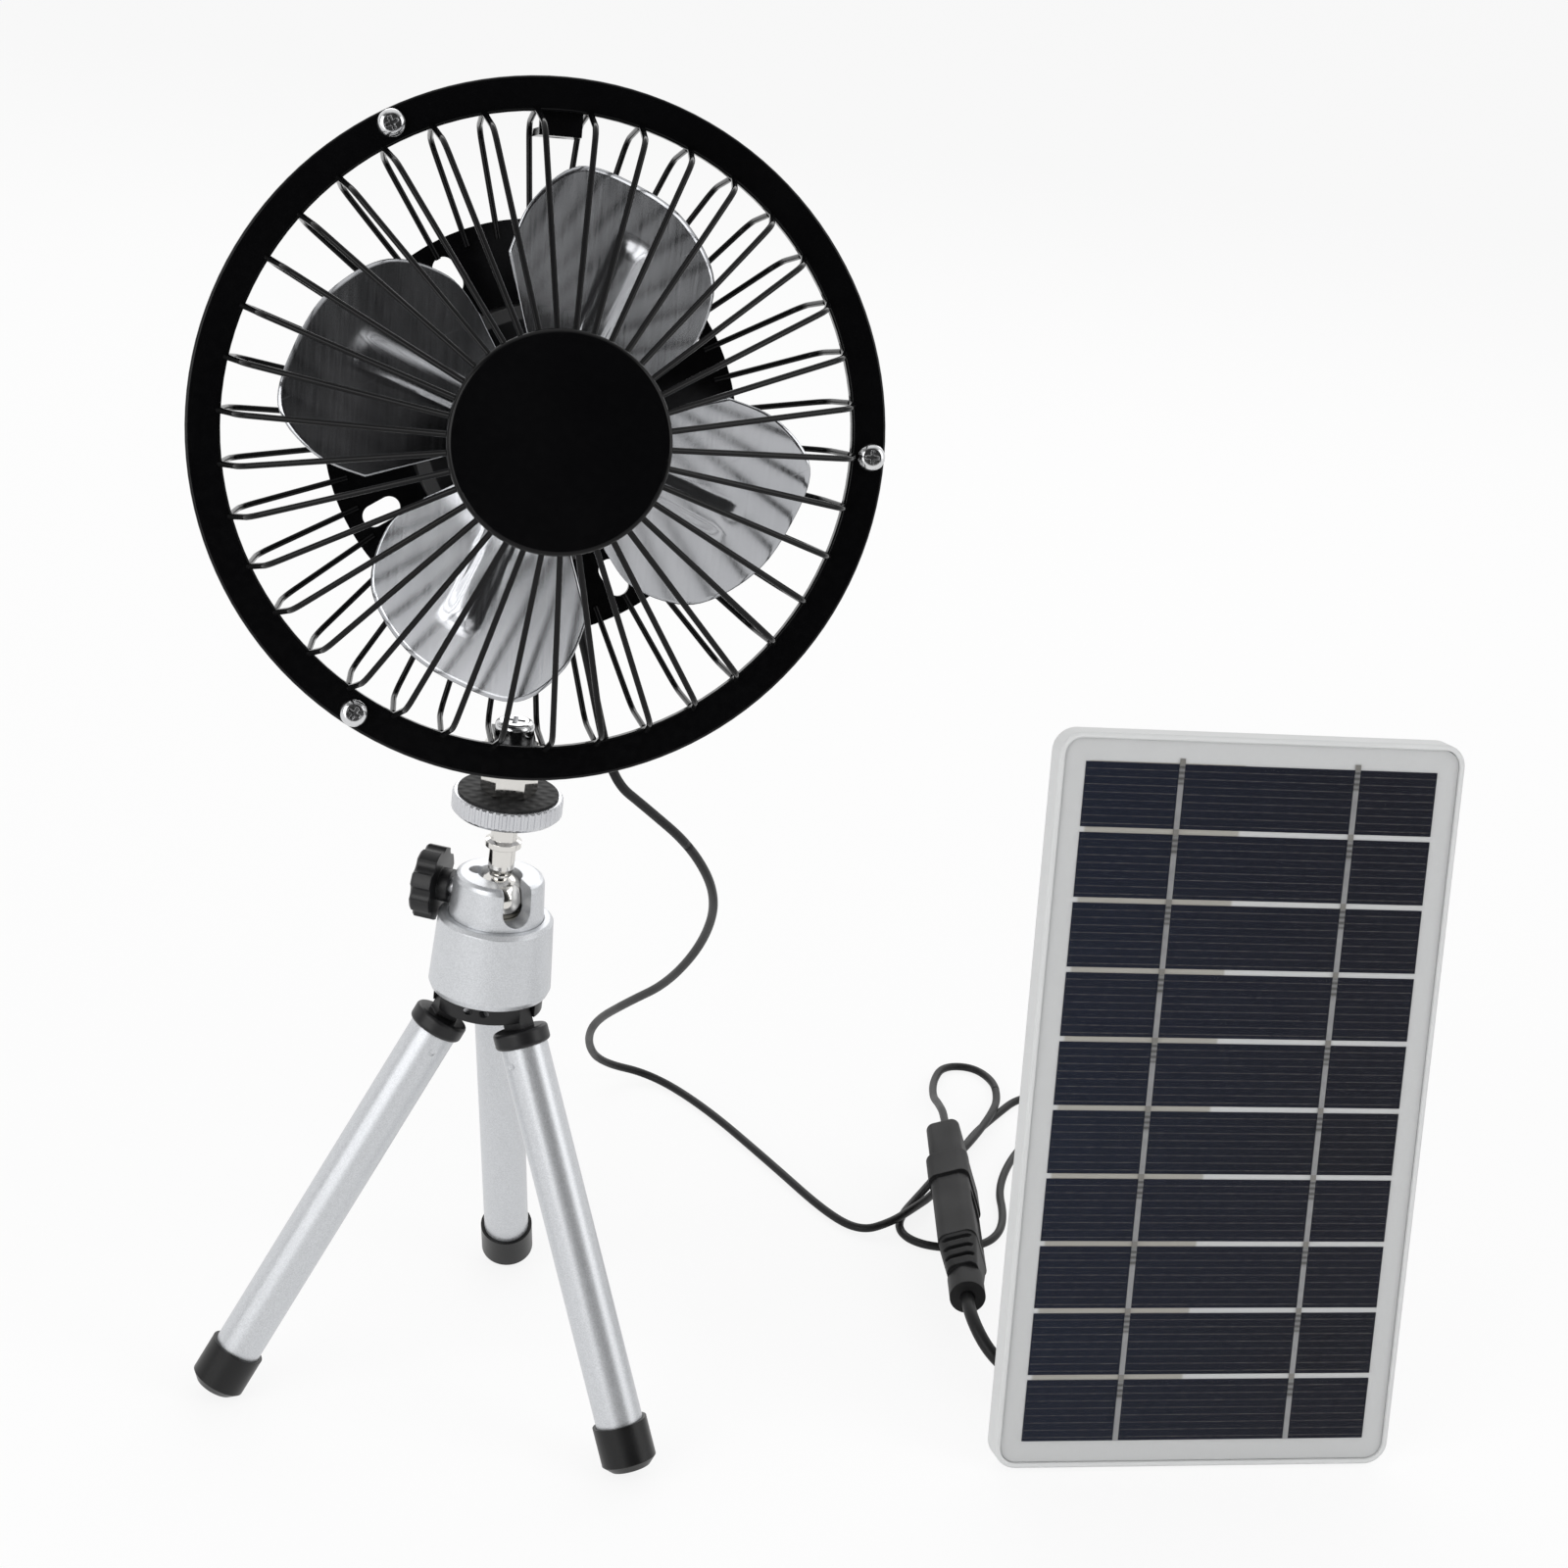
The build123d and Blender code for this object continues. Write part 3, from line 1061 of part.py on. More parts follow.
cage_end = towards(cage_points[-1], drop_points[0], 0.5)
floor_start = towards(drop_points[-1], floor_points[0], 0.5)
plug_cord_start = towards(floor_points[-1], plug_points[0], 0.5)
neck_end = across(plug_start + plug_length + plug_neck_length - 1.5).origin
sleeve_mouth = across(1.5).origin
gland_mouth = panel_point(gland_u, gland_bottom_v + 1.5, panel_t + gland_depth)
gland_drop = panel_point(gland_u, gland_bottom_v - 10.5, panel_t + gland_depth)

cord_tube("fan_cord_cage", [*cage_points, cage_end], cord_r)
cord_tube("fan_cord_drop", [cage_end, *drop_points, floor_start], cord_r)
cord_tube("fan_cord_floor", [floor_start, *floor_points, plug_cord_start], cord_r)
cord_tube("fan_cord_plug", [plug_cord_start, *plug_points, neck_end], cord_r)
cord_tube("panel_lead", [sleeve_mouth, *lead_points, gland_drop, gland_mouth], lead_r)

# ================================================================ the whole set
whole = Compound(children=list(made.values())).bounding_box()
for low, high, side in zip(whole.min, whole.max, "xyz"):
    print(side, round(low, 2), round(high, 2))
print(len(made), "parts; shelf top", round(shelf_top_z, 2), "leg", round(leg_length, 2))
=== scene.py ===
import bpy
from math import cos, pi, radians, sin
from mathutils import Matrix, Vector


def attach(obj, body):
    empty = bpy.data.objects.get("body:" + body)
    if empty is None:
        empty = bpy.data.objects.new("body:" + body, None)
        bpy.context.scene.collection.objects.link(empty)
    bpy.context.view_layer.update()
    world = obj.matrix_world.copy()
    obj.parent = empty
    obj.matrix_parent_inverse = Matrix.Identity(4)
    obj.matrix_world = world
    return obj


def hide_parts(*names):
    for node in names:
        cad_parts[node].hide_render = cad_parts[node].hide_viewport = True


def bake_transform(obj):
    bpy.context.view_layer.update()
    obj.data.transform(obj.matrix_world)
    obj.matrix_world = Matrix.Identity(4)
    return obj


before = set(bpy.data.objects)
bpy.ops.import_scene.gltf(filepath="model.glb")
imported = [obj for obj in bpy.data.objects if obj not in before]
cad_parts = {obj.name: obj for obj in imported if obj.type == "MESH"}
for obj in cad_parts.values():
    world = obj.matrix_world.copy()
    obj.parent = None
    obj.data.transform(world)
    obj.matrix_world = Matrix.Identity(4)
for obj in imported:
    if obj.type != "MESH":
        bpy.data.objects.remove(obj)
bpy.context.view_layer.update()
MM = 0.001

# ---------------------------------------------------------------- where the pieces stand
TRIPOD = Vector((-68.18, -10.11, 0)) * MM


def from_tripod(x, y, z):
    """A point given in millimetres from the tripod's axis on the floor."""
    return TRIPOD + Vector((x, y, z)) * MM


FAN_AZIMUTH, FAN_LEAN = radians(11.3), radians(14.5)
fan_ahead = Vector((sin(FAN_AZIMUTH), -cos(FAN_AZIMUTH), 0))
fan_axis = fan_ahead * cos(FAN_LEAN) + Vector((0, 0, sin(FAN_LEAN)))
fan_right = Vector((cos(FAN_AZIMUTH), sin(FAN_AZIMUTH), 0))
fan_up = fan_axis.cross(fan_right)
ring_centre = from_tripod(0, 0, 211.9) - fan_ahead * 4.6 * MM

PANEL_YAW, PANEL_LEAN = radians(14.5), radians(11.7)
panel_right = Vector((cos(PANEL_YAW), sin(PANEL_YAW), 0))
panel_back = Vector((-sin(PANEL_YAW), cos(PANEL_YAW), 0))
panel_up = panel_back * sin(PANEL_LEAN) + Vector((0, 0, cos(PANEL_LEAN)))
panel_face = panel_right.cross(panel_up)
panel_floor = from_tripod(118.7, -12.7, 0)
panel_corner = panel_floor + Vector((0, 0, 5.5 * MM * sin(PANEL_LEAN)))

CONN_YAW = radians(4.0)
conn_axis = Vector((-sin(CONN_YAW), cos(CONN_YAW), 0))
conn_start = from_tripod(111.6, 38.8, 12.3)


def fan_point(radius, angle, ahead):
    """Radius, angle in degrees and distance ahead of the ring, in millimetres."""
    spoke = fan_right * cos(radians(angle)) + fan_up * sin(radians(angle))
    return ring_centre + (spoke * radius + fan_axis * ahead) * MM


def panel_floor_point(along, behind, z):
    return panel_floor + (panel_right * along + panel_back * behind + Vector((0, 0, z))) * MM


def panel_point(along, up, behind):
    return panel_corner + (panel_right * along + panel_up * up - panel_face * behind) * MM


# ---------------------------------------------------------------- camera
camera_data = bpy.data.cameras.new("camera")
camera_data.sensor_fit = "HORIZONTAL"
camera_data.sensor_width = 36.0
camera_data.lens = 81.28
camera = bpy.data.objects.new("camera", camera_data)
bpy.context.scene.collection.objects.link(camera)
camera_right = Vector((0.99151, 0.04914, 0.12036))
camera_up = Vector((-0.13001, 0.37475, 0.91796))
camera_back = Vector((0.0, -0.92582, 0.37796))
camera.matrix_world = Matrix.Translation(from_tripod(55.26, -661.82, 416.94)) @ Matrix(
    (camera_right, camera_up, camera_back)
).transposed().to_4x4()
bpy.context.scene.camera = camera
bpy.context.scene.view_settings.view_transform = "Standard"


# ---------------------------------------------------------------- cords
CORD_D, LEAD_D = 2.0 * MM, 3.0 * MM
LEAST_STEP = 0.2 * MM       # points on a cord's line that stand closer than this are left out
cage_route = [(25.2, -73.5, -10.0), (35.0, -73.6, -10.2), (47.0, -73.2, -9.4), (59.0, -73.6, -9.0)]
drop_route = [
    (20.9, 1.0, 142.1), (27.8, 6.0, 135.2), (38.1, 16.0, 123.3), (44.3, 30.0, 106.7),
    (42.4, 47.0, 87.9), (35.0, 66.0, 67.6), (25.5, 84.0, 52.6), (17.3, 104.0, 36.7),
    (15.1, 125.0, 20.1), (18.0, 142.0, 6.5), (31.0, 150.0, 1.05),
]
floor_route = [
    (46.0, 135.6, 1.05), (63.5, 111.5, 1.05), (79.0, 89.0, 1.05), (87.5, 82.4, 1.25),
    (94.3, 85.0, 3.3), (98.8, 92.0, 3.3), (105.0, 106.0, 1.05), (109.4, 121.5, 1.05),
    (113.6, 138.0, 1.05), (120.8, 153.0, 1.05), (126.0, 163.0, 1.05), (133.5, 167.0, 1.05),
    (140.6, 162.2, 1.05), (139.5, 152.5, 1.05), (127.0, 139.5, 1.05), (120.4, 115.0, 1.05),
    (122.2, 97.5, 1.05), (119.5, 86.5, 1.05), (112.5, 81.0, 1.05), (103.0, 79.6, 1.05), (97.0, 83.5, 1.05),
    (96.2, 91.5, 1.05), (102.4, 107.5, 1.05), (107.3, 117.6, 3.15), (111.3, 126.0, 3.15),
    (115.6, 137.5, 3.2), (119.2, 149.5, 3.2), (120.8, 161.0, 1.2),
]
plug_route = [
    (120.0, 171.0, 1.05), (114.4, 178.0, 1.05), (106.4, 176.2, 1.05), (103.9, 166.5, 1.3),
    (103.6, 153.0, 3.6), (104.6, 139.0, 8.8), (105.7, 126.5, 12.3),
]
lead_route = [
    (4.6, 46.2, 12.3), (8.2, 36.7, 6.4), (16.0, 33.5, 1.55), (27.0, 31.5, 1.55), (32.4, 25.1, 1.55),
    (31.7, 16.8, 1.55), (25.3, 11.5, 2.6),
]
# Where the cords enter the connectors and the box on the panel's back.
neck_end = conn_start + conn_axis * 75.1 * MM
sleeve_mouth = conn_start + conn_axis * 1.5 * MM
gland_mouth, gland_drop = panel_point(15.0, 21.5, 10.1), panel_point(15.0, 9.5, 10.1)


def smooth_line(name, points):
    """Even, dense points along a smooth curve with these control points."""
    data = bpy.data.curves.new(name, "CURVE")
    data.dimensions = "3D"
    data.resolution_u = 14
    spline = data.splines.new("NURBS")
    spline.points.add(len(points) - 1)
    for control, point in zip(spline.points, points):
        control.co = (*point, 1.0)
    spline.order_u = 3
    spline.use_endpoint_u = True
    holder = bpy.data.objects.new(name, data)
    bpy.context.scene.collection.objects.link(holder)
    bpy.context.view_layer.update()
    scene_now = bpy.context.evaluated_depsgraph_get()
    line = bpy.data.meshes.new_from_object(holder.evaluated_get(scene_now))
    found = [v.co.copy() for v in line.vertices]
    bpy.data.meshes.remove(line)
    bpy.data.objects.remove(holder)
    bpy.data.curves.remove(data)
    kept = [found[0]]
    for point in found[1:]:
        if (point - kept[-1]).length > LEAST_STEP:
            kept.append(point)
    return kept


def new_piece(name, verts, faces, smooth=True):
    mesh = bpy.data.meshes.new(name)
    mesh.from_pydata([tuple(v) for v in verts], [], faces)
    mesh.validate()
    mesh.update()
    if smooth:
        mesh.polygons.foreach_set("use_smooth", [True] * len(mesh.polygons))
    piece = bpy.data.objects.new(name, mesh)
    bpy.context.scene.collection.objects.link(piece)
    return piece


def tube(name, line, diameter, sides=14):
    """Closed round tube that follows the line without twisting."""
    verts, faces = [], []
    ahead = (line[1] - line[0]).normalized()
    side = ahead.orthogonal().normalized()
    for i, point in enumerate(line):
        ahead = (line[min(i + 1, len(line) - 1)] - line[max(i - 1, 0)]).normalized()
        side = (side - ahead * side.dot(ahead)).normalized()
        other = ahead.cross(side)
        for k in range(sides):
            turn = 2 * pi * k / sides
            verts.append(point + (side * cos(turn) + other * sin(turn)) * diameter / 2)
    for i in range(len(line) - 1):
        for k in range(sides):
            a, b = i * sides + k, i * sides + (k + 1) % sides
            faces.append((a, b, b + sides, a + sides))
    faces.append(tuple(reversed(range(sides))))
    faces.append(tuple(range(len(verts) - sides, len(verts))))
    return new_piece(name, verts, faces)


def nearest_index(line, point):
    return min(range(len(line)), key=lambda i: (line[i] - point).length)


fan_line = smooth_line(
    "fan_cord_route",
    [fan_point(*p) for p in cage_route] + [from_tripod(*p) for p in drop_route + floor_route + plug_route]
    + [neck_end],
)
# One line, cut in three at the fan's turn, at the ball's tilt and at the plug.
hang_cut = nearest_index(fan_line, from_tripod(36.5, 15.0, 124.5))
loop_cut = nearest_index(fan_line, from_tripod(120.4, 166.0, 1.1))
cord_parts = {
    "fan_cord_upper": fan_line[: hang_cut + 1],
    "fan_cord_lower": fan_line[hang_cut: loop_cut + 1],
    "fan_cord_loop": fan_line[loop_cut:],
}
upper, lower, loop = (tube(name, line, CORD_D) for name, line in cord_parts.items())
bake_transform(upper)
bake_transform(lower)
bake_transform(loop)
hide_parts("fan_cord_cage", "fan_cord_drop")
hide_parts("fan_cord_floor")
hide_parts("fan_cord_plug")

lead_line = smooth_line(
    "panel_lead_route",
    [gland_mouth, gland_drop] + [panel_floor_point(*p) for p in reversed(lead_route)] + [sleeve_mouth],
)
lead = tube("panel_cable", lead_line, LEAD_D)
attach(lead, "base")
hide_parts("panel_lead")


# ---------------------------------------------------------------- material helpers
RGBA = {"data_type": "RGBA"}
# Every pattern is laid out by "where", the position in the set's own frame, which stays with each body.
FROM_NOISE = {"From_Min": 0.3, "From_Max": 0.7}     # the span that most of a noise lies in


def linear(hex_colour):
    """sRGB hex to linear RGBA."""
    out = []
    for k in (1, 3, 5):
        c = int(hex_colour[k:k + 2], 16) / 255
        out.append(c / 12.92 if c <= 0.04045 else ((c + 0.055) / 1.055) ** 2.4)
    return (*out, 1.0)


def add(tree, kind, settings=None, **inputs):
    """Adds a node. settings are its own properties. inputs are values, sockets, or nodes (their first
    output), each named for its socket, with _ for a space, or in0 and so on for the socket's number."""
    node = tree.nodes.new("ShaderNode" + kind)
    for key, value in (settings or {}).items():
        setattr(node, key, value)
    for key, value in inputs.items():
        by_number = key.startswith("in") and key[2:].isdigit()
        socket = node.inputs[int(key[2:]) if by_number else key.replace("_", " ")]
        if isinstance(value, bpy.types.Node):
            value = value.outputs[0]
        if isinstance(value, bpy.types.NodeSocket):
            tree.links.new(value, socket)
        else:
            socket.default_value = value
    return node


def new_material(name):
    """An empty material and its tree."""
    made = bpy.data.materials.new(name)
    made.use_nodes = True
    made.node_tree.nodes.clear()
    return made, made.node_tree


def moulded(name, dark, light, roughness, grain_mm, depth_mm, edge_mm=0.25, ior=1.5):
    """Moulded plastic or rubber: the tool's grain, clouds of shade and gloss 14 mm across, soft edges."""
    made, tree = new_material(name)
    where = add(tree, "TexCoord").outputs["Object"]
    cloud = add(tree, "TexNoise", Vector=where, Scale=1 / (14.0 * MM))
    tool_grain = add(tree, "TexNoise", Vector=where, Scale=1 / (grain_mm * MM))
    shade = add(tree, "Mix", RGBA, in0=cloud, in6=linear(dark), in7=linear(light))
    gloss = add(tree, "MapRange", Value=cloud, **FROM_NOISE, To_Min=roughness - 0.05, To_Max=roughness + 0.07)
    edge = add(tree, "Bevel", {"samples": 4}, Radius=edge_mm * MM)
    relief = add(tree, "Bump", Height=tool_grain, Distance=depth_mm * MM, Strength=0.7, Normal=edge)
    shader = add(tree, "BsdfPrincipled", Base_Color=shade.outputs[2], Roughness=gloss, Normal=relief, IOR=ior)
    add(tree, "OutputMaterial", Surface=shader)
    return made


def metal(name, colour, shade, roughness, scratch_mm=0.5, scratch_depth_mm=0.004, edge_mm=0.15):
    """Bare or plated metal: handling scratches drawn out upwards, and a faint cloud 9 mm across."""
    made, tree = new_material(name)
    where = add(tree, "TexCoord").outputs["Object"]
    cloud = add(tree, "TexNoise", Vector=where, Scale=1 / (9.0 * MM))
    drawn_out = add(tree, "Mapping", Vector=where, Scale=(1.0, 1.0, 0.12))
    scratches = add(tree, "TexNoise", Vector=drawn_out, Scale=1 / (scratch_mm * MM), Detail=3.0)
    tint = add(tree, "Mix", RGBA, in0=cloud, in6=linear(colour), in7=linear(shade))
    gloss = add(tree, "MapRange", Value=scratches, **FROM_NOISE,
                To_Min=max(roughness - 0.05, 0.03), To_Max=roughness + 0.08)
    edge = add(tree, "Bevel", {"samples": 4}, Radius=edge_mm * MM)
    relief = add(tree, "Bump", Height=scratches, Distance=scratch_depth_mm * MM, Strength=0.6, Normal=edge)
    shader = add(tree, "BsdfPrincipled", Base_Color=tint.outputs[2], Metallic=1.0, Roughness=gloss,
                 Normal=relief)
    add(tree, "OutputMaterial", Surface=shader)
    return made


# ---------------------------------------------------------------- materials
# Black enamel, sprayed on steel and stoved: a deep gloss that wavers over a faint orange peel, whose
# bumps are 1.6 mm across.
enamel, tree = new_material("stoved_black_enamel")
where = add(tree, "TexCoord").outputs["Object"]
peel = add(tree, "TexNoise", Vector=where, Scale=1 / (1.6 * MM), Detail=1.0)
cloud = add(tree, "TexNoise", Vector=where, Scale=1 / (20.0 * MM))
shade = add(tree, "Mix", RGBA, in0=cloud, in6=linear("#040405"), in7=linear("#09090a"))
gloss = add(tree, "MapRange", Value=peel, **FROM_NOISE, To_Min=0.14, To_Max=0.22)
relief = add(tree, "Bump", Height=peel, Distance=0.012 * MM, Strength=0.5)
shader = add(tree, "BsdfPrincipled", Base_Color=shade.outputs[2], Roughness=gloss, IOR=1.27, Normal=relief)
add(tree, "OutputMaterial", Surface=shader)

# Aluminium sheet, rolled, stamped and left bare: rolling lines up the sheet and stray handling scratches
# across it drag the highlights out. Real lines are finer than 0.1 mm; they are drawn 0.45 mm apart, and
# the scratches 1.1 mm, so that they show.
sheet_aluminium, tree = new_material("rolled_aluminium_sheet")
where = add(tree, "TexCoord").outputs["Object"]
across_fan, up_fan = (
    add(tree, "VectorMath", {"operation": "DOT_PRODUCT"}, in0=where, in1=tuple(direction)).outputs["Value"]
    for direction in (fan_right, fan_up)
)
sheet = add(tree, "CombineXYZ", X=across_fan, Y=up_fan)
rolled = add(tree, "Mapping", Vector=sheet, Scale=(1.0, 0.05, 1.0))
rolling = add(tree, "TexNoise", Vector=rolled, Scale=1 / (0.45 * MM), Detail=4.0)
turned = add(tree, "VectorRotate", {"rotation_type": "Z_AXIS"}, Vector=sheet, Angle=radians(62))
drawn_out = add(tree, "Mapping", Vector=turned, Scale=(1.0, 0.06, 1.0))
scratches = add(tree, "TexNoise", Vector=drawn_out, Scale=1 / (1.1 * MM))
stray = add(tree, "MapRange", Value=scratches, From_Min=0.66, From_Max=0.74)
wiped = add(tree, "Mapping", Vector=sheet, Scale=(1.0, 0.35, 1.0))
dulling = add(tree, "TexNoise", Vector=wiped, Scale=1 / (13.0 * MM))
lines = add(tree, "Math", {"operation": "MAXIMUM"}, in0=rolling, in1=stray)
worn = add(tree, "Math", {"operation": "ADD"}, in0=lines, in1=dulling)
tint = add(tree, "Mix", RGBA, in0=dulling, in6=linear("#999b9f"), in7=linear("#c4c5c8"))
gloss = add(tree, "MapRange", Value=worn, From_Min=0.7, From_Max=1.3, To_Min=0.13, To_Max=0.24)
relief = add(tree, "Bump", Height=lines, Distance=0.0018 * MM, Strength=0.5)
shader = add(tree, "BsdfPrincipled", Base_Color=tint.outputs[2], Metallic=1.0, Roughness=gloss, Normal=relief)
add(tree, "OutputMaterial", Surface=shader)

# Each leg tube is held on its hinge by a punched dimple on either side.
LEG_AZIMUTH, LEG_SPREAD = -36.4, radians(26.6)
PIVOT_R, PIVOT_Z, TUBE_R, DIMPLE_ALONG = 7.0, 92.2, 5.0, 12.4
leg_dimples = []
for k in range(3):
    azimuth = radians(LEG_AZIMUTH + 120 * k)
    out = Vector((cos(azimuth), sin(azimuth), 0))
    down_leg = out * sin(LEG_SPREAD) - Vector((0, 0, cos(LEG_SPREAD)))
    sideways = Vector((-out.y, out.x, 0))
    on_axis = out * PIVOT_R + Vector((0, 0, PIVOT_Z)) + down_leg * DIMPLE_ALONG
    leg_dimples += [from_tripod(*(on_axis + sideways * TUBE_R * side)) for side in (1, -1)]

# Silver paint, sprayed over metal: satin, with aluminium flakes that glint. Real flakes are a few
# hundredths of a millimetre; they are drawn 0.16 mm across so that they show.
silver_paint, tree = new_material("silver_flake_paint")
where = add(tree, "TexCoord").outputs["Object"]
flakes = add(tree, "TexVoronoi", {"feature": "F1"}, Vector=where, Scale=1 / (0.16 * MM))
glint = add(tree, "SeparateColor", Color=flakes.outputs["Color"])
nearest_dimple = None
for dimple in leg_dimples:
    away = add(tree, "VectorMath", {"operation": "DISTANCE"}, in0=where, in1=tuple(dimple)).outputs["Value"]
    nearest_dimple = away if nearest_dimple is None else add(
        tree, "Math", {"operation": "MINIMUM"}, in0=nearest_dimple, in1=away)
punched = add(tree, "MapRange", {"interpolation_type": "SMOOTHSTEP"}, Value=nearest_dimple,
              From_Min=0.3 * MM, From_Max=1.0 * MM, To_Min=-40.0, To_Max=0.0)
peel = add(tree, "TexNoise", Vector=where, Scale=1 / (1.1 * MM))
heights = add(tree, "Math", {"operation": "ADD"}, in0=peel, in1=punched)
flake_share = add(tree, "MapRange", Value=glint, From_Min=0.1, From_Max=1.0)
tint = add(tree, "Mix", RGBA, in0=flake_share, in6=linear("#c3c5c8"), in7=linear("#d6d8db"))
gloss = add(tree, "MapRange", Value=glint, To_Min=0.33, To_Max=0.42)
edge = add(tree, "Bevel", {"samples": 4}, Radius=0.35 * MM)
relief = add(tree, "Bump", Height=heights, Distance=0.012 * MM, Strength=0.5, Normal=edge)
shader = add(tree, "BsdfPrincipled", Base_Color=tint.outputs[2], Metallic=0.75, Roughness=gloss, Normal=relief)
add(tree, "OutputMaterial", Surface=shader)

# Zinc, plated bright on small steel screws: clear highlights, lightly scuffed.
zinc = metal("bright_zinc_plate", "#c8c9cc", "#e2e2e2", 0.16)
# Nickel, plated and polished: nearly a mirror, a little warm.
nickel = metal("polished_nickel_plate", "#cfcdc9", "#e4e2de", 0.08, 0.8, 0.002, 0.2)
# Aluminium, turned on a lathe and left bare: satin, with soft highlights on its edges.
knurled = metal("turned_aluminium", "#bfc0c4", "#d6d7da", 0.27, 0.4, 0.006)
# Steel, galvanised: dull grey with an uneven gloss.
steel = metal("galvanised_steel", "#9a9b9e", "#b7b8ba", 0.36)
# Bronze, sintered from powder: brown and rough. Its pores are drawn 0.3 mm across so that they show.
bronze = metal("sintered_bronze", "#8f6b3d", "#a8824c", 0.5, 0.3, 0.01)

# ABS, injection moulded in black: satin, with the tool's grain of 0.35 mm.
abs_black = moulded("black_abs", "#0b0b0d", "#131315", 0.34, 0.35, 0.015, 0.35, 1.42)
# Thermoplastic rubber, moulded: blacker than the ABS, with a softer sheen.
tpe_black = moulded("black_tpe_rubber", "#060607", "#0b0b0c", 0.34, 0.4, 0.02, 0.3, 1.42)
# PVC, moulded over the connectors in a spark-eroded tool: matt and pebbled, with well rounded edges.
pvc_grain = moulded("spark_eroded_black_pvc", "#101011", "#171718", 0.52, 0.28, 0.035, 0.5, 1.3)
# PVC, extruded as a cord's jacket: smooth and soft-looking, with a low sheen along its length.
pvc_cord = moulded("black_pvc_jacket", "#0e0e0f", "#161617", 0.46, 0.5, 0.01, 0.1, 1.35)
# Nylon, moulded in its natural colour: milky and slightly waxy.
nylon = moulded("natural_nylon", "#d8d6cc", "#e2e0d8", 0.45, 0.6, 0.01)
# Ferrite, pressed and fired: charcoal, dry and faintly granular.
ferrite = moulded("pressed_ferrite", "#26262a", "#323238", 0.6, 0.5, 0.02)
# ABS, injection moulded in light grey: even and satin, with softly rounded edges.
tray_grey = moulded("light_grey_abs", "#cccdcd", "#d3d4d4", 0.48, 0.45, 0.008, 0.5)

# Rubber, moulded with a diamond tread, whose rows are 2.4 mm apart: matt black, painted greyer on the ridges
# and darker in the grooves, as painted shade.
TREAD_MM = 2.4
WAVE_BANDS = 20 / (2 * pi)      # the bands that a wave texture of scale 1 draws in a metre
pad_rubber, tree = new_material("treaded_rubber")
where = add(tree, "TexCoord").outputs["Object"]
tread_rows = []
for turn in (45, -45):
    turned = add(tree, "VectorRotate", {"rotation_type": "Z_AXIS"}, Vector=where, Angle=radians(turn))
    rows = add(tree, "TexWave", {"bands_direction": "X"}, Vector=turned,
               Scale=1 / (WAVE_BANDS * TREAD_MM * MM))
    tread_rows.append(rows.outputs["Fac"])
tread = add(tree, "Math", {"operation": "MULTIPLY"}, in0=tread_rows[0], in1=tread_rows[1])
# Painted shade: the colour follows the tread's height, darker in the grooves and greyer on the ridges.
shade = add(tree, "Mix", RGBA, in0=tread, in6=linear("#0f0f10"), in7=linear("#1b1b1c"))
relief = add(tree, "Bump", Height=tread, Distance=0.25 * MM, Strength=0.9)
shader = add(tree, "BsdfPrincipled", Base_Color=shade.outputs[2], Roughness=0.7, IOR=1.5, Normal=relief)
add(tree, "OutputMaterial", Surface=shader)

# The panel's layout, in millimetres up and along from its lower left corner.
CELL_FIRST, CELL_PITCH, CELL_HEIGHT, FINGER_PITCH = 6.0, 15.0, 13.8, 1.65
CELLS_MIDDLE, CELLS_HALF = 81.0, 74.0
GAP_MIDDLE, GAP_HALF = (CELL_HEIGHT + CELL_PITCH) / 2, (CELL_PITCH - CELL_HEIGHT) / 2 + 0.2


def cell_place(tree, where):
    """Along and up the panel, then up from the first cell and up within the cell at hand, all in mm."""
    offset = add(tree, "VectorMath", {"operation": "SUBTRACT"}, in0=where, in1=tuple(panel_corner))
    measured = []
    for direction in (panel_right, panel_up):
        share = add(tree, "VectorMath", {"operation": "DOT_PRODUCT"}, in0=offset, in1=tuple(direction))
        measured.append(add(tree, "Math", {"operation": "MULTIPLY"}, in0=share.outputs["Value"], in1=1 / MM))
    along, up = measured
    from_cell = add(tree, "Math", {"operation": "SUBTRACT"}, in0=up, in1=CELL_FIRST)
    in_cell = add(tree, "Math", {"operation": "MODULO"}, in0=from_cell, in1=CELL_PITCH)
    return along, up, from_cell, in_cell


def band(tree, value, middle, half, edge=0.05):
    """1 within half of the middle, falling to 0 over the edge."""
    away = add(tree, "Math", {"operation": "SUBTRACT"}, in0=value, in1=middle)
    size = add(tree, "Math", {"operation": "ABSOLUTE"}, in0=away)
    return add(tree, "MapRange", Value=size, From_Min=half - edge, From_Max=half + edge,
               To_Min=1.0, To_Max=0.0)


# Silicon, grown as one crystal, sawn and coated blue with nitride: nearly black, each cell a little different,
# crossed by printed silver fingers, and painted bluer towards the panel's left edge as painted light. Real
# fingers are about 0.1 mm wide; they are drawn 0.15 mm, so that they show.
silicon, tree = new_material("blue_coated_silicon")
where = add(tree, "TexCoord").outputs["Object"]
along, _, from_cell, in_cell = cell_place(tree, where)
in_finger = add(tree, "Math", {"operation": "MODULO"}, in0=in_cell, in1=FINGER_PITCH)
finger = band(tree, in_finger, FINGER_PITCH / 2, 0.075, 0.04)
counted = add(tree, "Math", {"operation": "DIVIDE"}, in0=from_cell, in1=CELL_PITCH)
cell_number = add(tree, "Math", {"operation": "FLOOR"}, in0=counted)
cell_chance = add(tree, "TexWhiteNoise", {"noise_dimensions": "1D"}, W=cell_number)
cell_share = add(tree, "MapRange", Value=cell_chance, To_Min=0.0, To_Max=0.35)
